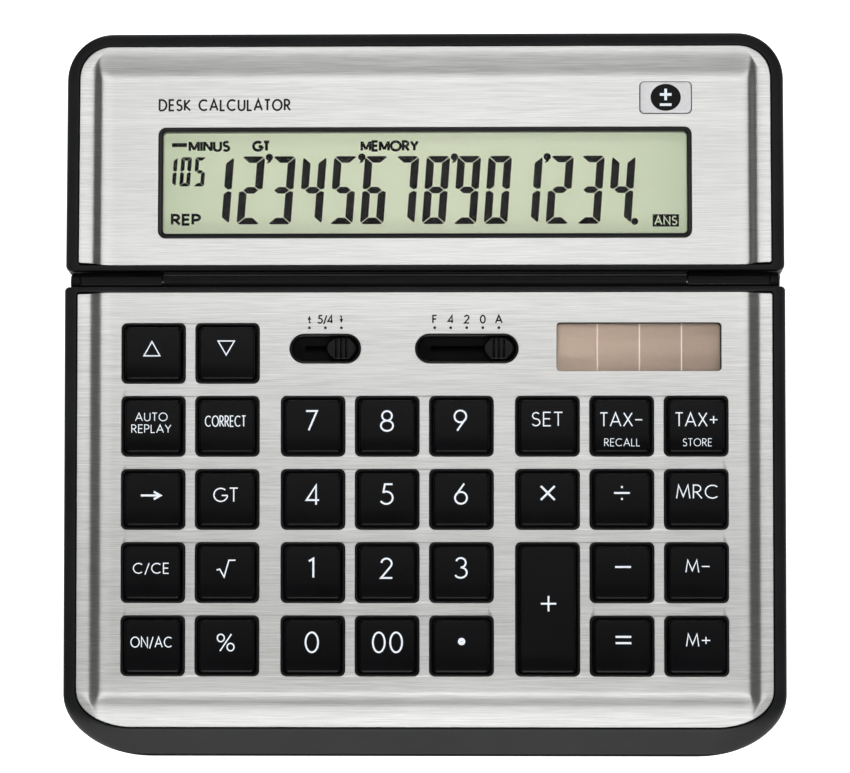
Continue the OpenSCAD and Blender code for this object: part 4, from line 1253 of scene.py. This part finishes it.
def build_lcd():
    low, high = screen.box("lcd_panel")
    glass = rounded(high.x - low.x, high.y - low.y, 0.4, 0, LCD_Y)
    flat_block("lcd_glass", screen, glass, low.z, high.z, 0.05, "display", LCD_BACK,
               ["lcd_panel"])
    place = screen.at_level(high.z)
    y0 = LCD_Y - (LCD_D - 2 * LCD_RING) / 2
    left = -(LCD_W - 2 * LCD_RING) / 2
    b = Builder()
    start, foot = left + 10.98, y0 + 2.55
    for i, digit in enumerate("12345678901234"):
        lcd_digit(b, digit, start + i * DIGIT_PITCH, foot, DIGIT, place)
    for i in (2, 5, 8, 11):
        add_flat(b, comma(start + i * DIGIT_PITCH + 0.45, foot + DIGIT[1] - 0.25, 0.95), place, SEGMENT)
    dot = start + 13 * DIGIT_PITCH + DIGIT[0] + 0.95
    add_flat(b, rounded(1.8, 1.8, 0.88, dot, foot + 0.62), place, SEGMENT)
    for i, digit in enumerate("105"):
        lcd_digit(b, digit, left + 0.41 + i * SMALL_PITCH, y0 + 12.45, SMALL_DIGIT, place)
    for text, dx, rise, wide, tall, weight in LCD_WORDS:
        write_within(b, text, left + dx, y0 + rise, wide, tall, weight, place, SEGMENT)
    add_piece("lcd_segments", b.mesh("segments"), "display", LCD_INK)
    b = Builder()
    x, y = left + 129.65, y0 + 3.4
    add_flat(b, rounded(6.8, 3.2, 0.1, x, y), place, (0.0, 0.04))
    add_piece("lcd_answer_box", b.mesh("box"), "display", LCD_INK)
    b = Builder()
    write(b, "ANS", x, y - 1.05, 2.1, 0.34, place, (0.04, 0.06), 0.24, 1.12)
    add_piece("lcd_answer_text", b.mesh("text"), "display", LCD_BACK)


# ---------------------------------------------------------------- the CAD nodes that are shown as they are

# (nodes, material, slot)
DRESSED = [
    (("bottom_case", "display_rear", "battery_cover"), BLACK, "black_plastic"),
    (("base_feet", "display_feet"), RUBBER, "rubber"),
    (("case_screws", "display_screws"), DARK_STEEL, "screw_steel"),
    (("hinge_pins", "button_cell"), STEEL, "steel"),
    (("switch_bodies",), BLACK_DEEP, "steel"),
    (("main_board", "display_board"), BOARD, "circuit_board"),
    (("dome_mat",), SILICONE, "silicone"),
    (("battery_contacts",), BRASS, "spring_brass"),
    (("display_cable",), RUBBER, "cable_sheath"),
    (("solar_window", "lcd_window"), CLEAR, "clear_plastic"),
]


def dress_cad_nodes():
    for nodes, material, slot in DRESSED:
        for node in nodes:
            piece = frame["nodes"][node]
            piece.data.materials.clear()
            piece.data.materials.append(material)
            finish_mesh(piece.data, 30)


# ---------------------------------------------------------------- floor, light and camera

FLOOR_HALF = 6.0


def build_floor():
    mesh = bpy.data.meshes.new("floor")
    corners = [(x * FLOOR_HALF, y * FLOOR_HALF, 0) for x, y in ((-1, -1), (1, -1), (1, 1), (-1, 1))]
    mesh.from_pydata(corners, [], [(0, 1, 2, 3)])
    n = Nodes("pale_floor", Base_Color=(0.92, 0.92, 0.92, 1), Roughness=0.9, Emission_Color=(1, 1, 1, 1),
              Emission_Strength=1.0)
    mesh.materials.append(n.material)
    linked("floor", mesh)


# Soft panels on a sphere round the object: (name, turn about the vertical, height over the front horizon in
# degrees, width, depth in metres, power). A height over 90 is behind the zenith. The powers were first
# solved for by least squares against the reference's brightness, then rounded and changed.
LIGHT_REACH = 1.5
PANELS = [
    ("front_low", 0, 12, 0.95, 0.3, 7.7),
    ("front_middle", 0, 24, 0.95, 0.3, 8.0),
    ("front_high", 0, 60, 0.95, 0.2, 0.95),
    ("top_front", 0, 84, 0.95, 0.13, 1.1),
    ("top_middle", 0, 94, 0.95, 0.13, 2.0),
    ("top_back", 0, 99, 0.95, 0.13, 1.83),
    ("back_low", 0, 150, 0.95, 0.3, 6.9),
    ("left_middle", -104, 35, 0.9, 0.5, 2.7),
    ("right_low", 90, 20, 0.9, 0.5, 2.0),
    ("right_middle", 104, 35, 0.9, 0.5, 1.8),
]


LIGHT_MIDDLE = Vector((0, 0, 0.02))


def build_lights():
    for name, turn, height, wide, deep, power in PANELS:
        up, about = math.radians(height), math.radians(turn)
        out = Vector((math.sin(about) * math.cos(up), -math.cos(about) * math.cos(up), math.sin(up)))
        data = bpy.data.lights.new(name, "AREA")
        data.shape = "RECTANGLE"
        data.size, data.size_y = wide, deep
        data.energy = power
        lamp = linked(name, data)
        lamp.location = LIGHT_MIDDLE + out * LIGHT_REACH
        lamp.rotation_euler = (LIGHT_MIDDLE - lamp.location).to_track_quat("-Z", "Y").to_euler()
    world = bpy.data.worlds.new("studio")
    world.use_nodes = True
    background = world.node_tree.nodes["Background"].inputs
    background["Color"].default_value = (1, 1, 1, 1)
    background["Strength"].default_value = 0.0
    bpy.context.scene.world = world


# The camera's height was chosen. Its lens, place and turn were then solved for by least squares, so that the
# outlines meet the reference's. The lens and sensor are in millimetres.
LENS = 146.67
SENSOR = 36
CAMERA_PLACE = (0.0186, -0.1115, 0.900)
CAMERA_TURN = {"X": 7.30, "Y": 1.19, "Z": -0.04}


def build_camera():
    """A long lens almost square to the keypad, as far off as the perspective needs."""
    data = bpy.data.cameras.new("camera")
    data.lens = LENS
    data.sensor_width = SENSOR
    data.clip_start = 0.05
    camera = linked("camera", data)
    turn = Matrix.Identity(3)
    for axis, degrees in CAMERA_TURN.items():
        turn = turn @ Matrix.Rotation(math.radians(degrees), 3, axis)
    camera.rotation_euler = turn.to_euler()
    camera.location = CAMERA_PLACE
    bpy.context.scene.camera = camera


build_camera()
build_floor()
build_lights()
build_faceplates()
build_housings()
build_bezels()
build_hinge()
build_keys()
build_knobs()
build_solar()
build_plate_prints()
build_badge()
build_lcd()
dress_cad_nodes()
bpy.context.scene.view_settings.view_transform = "Standard"
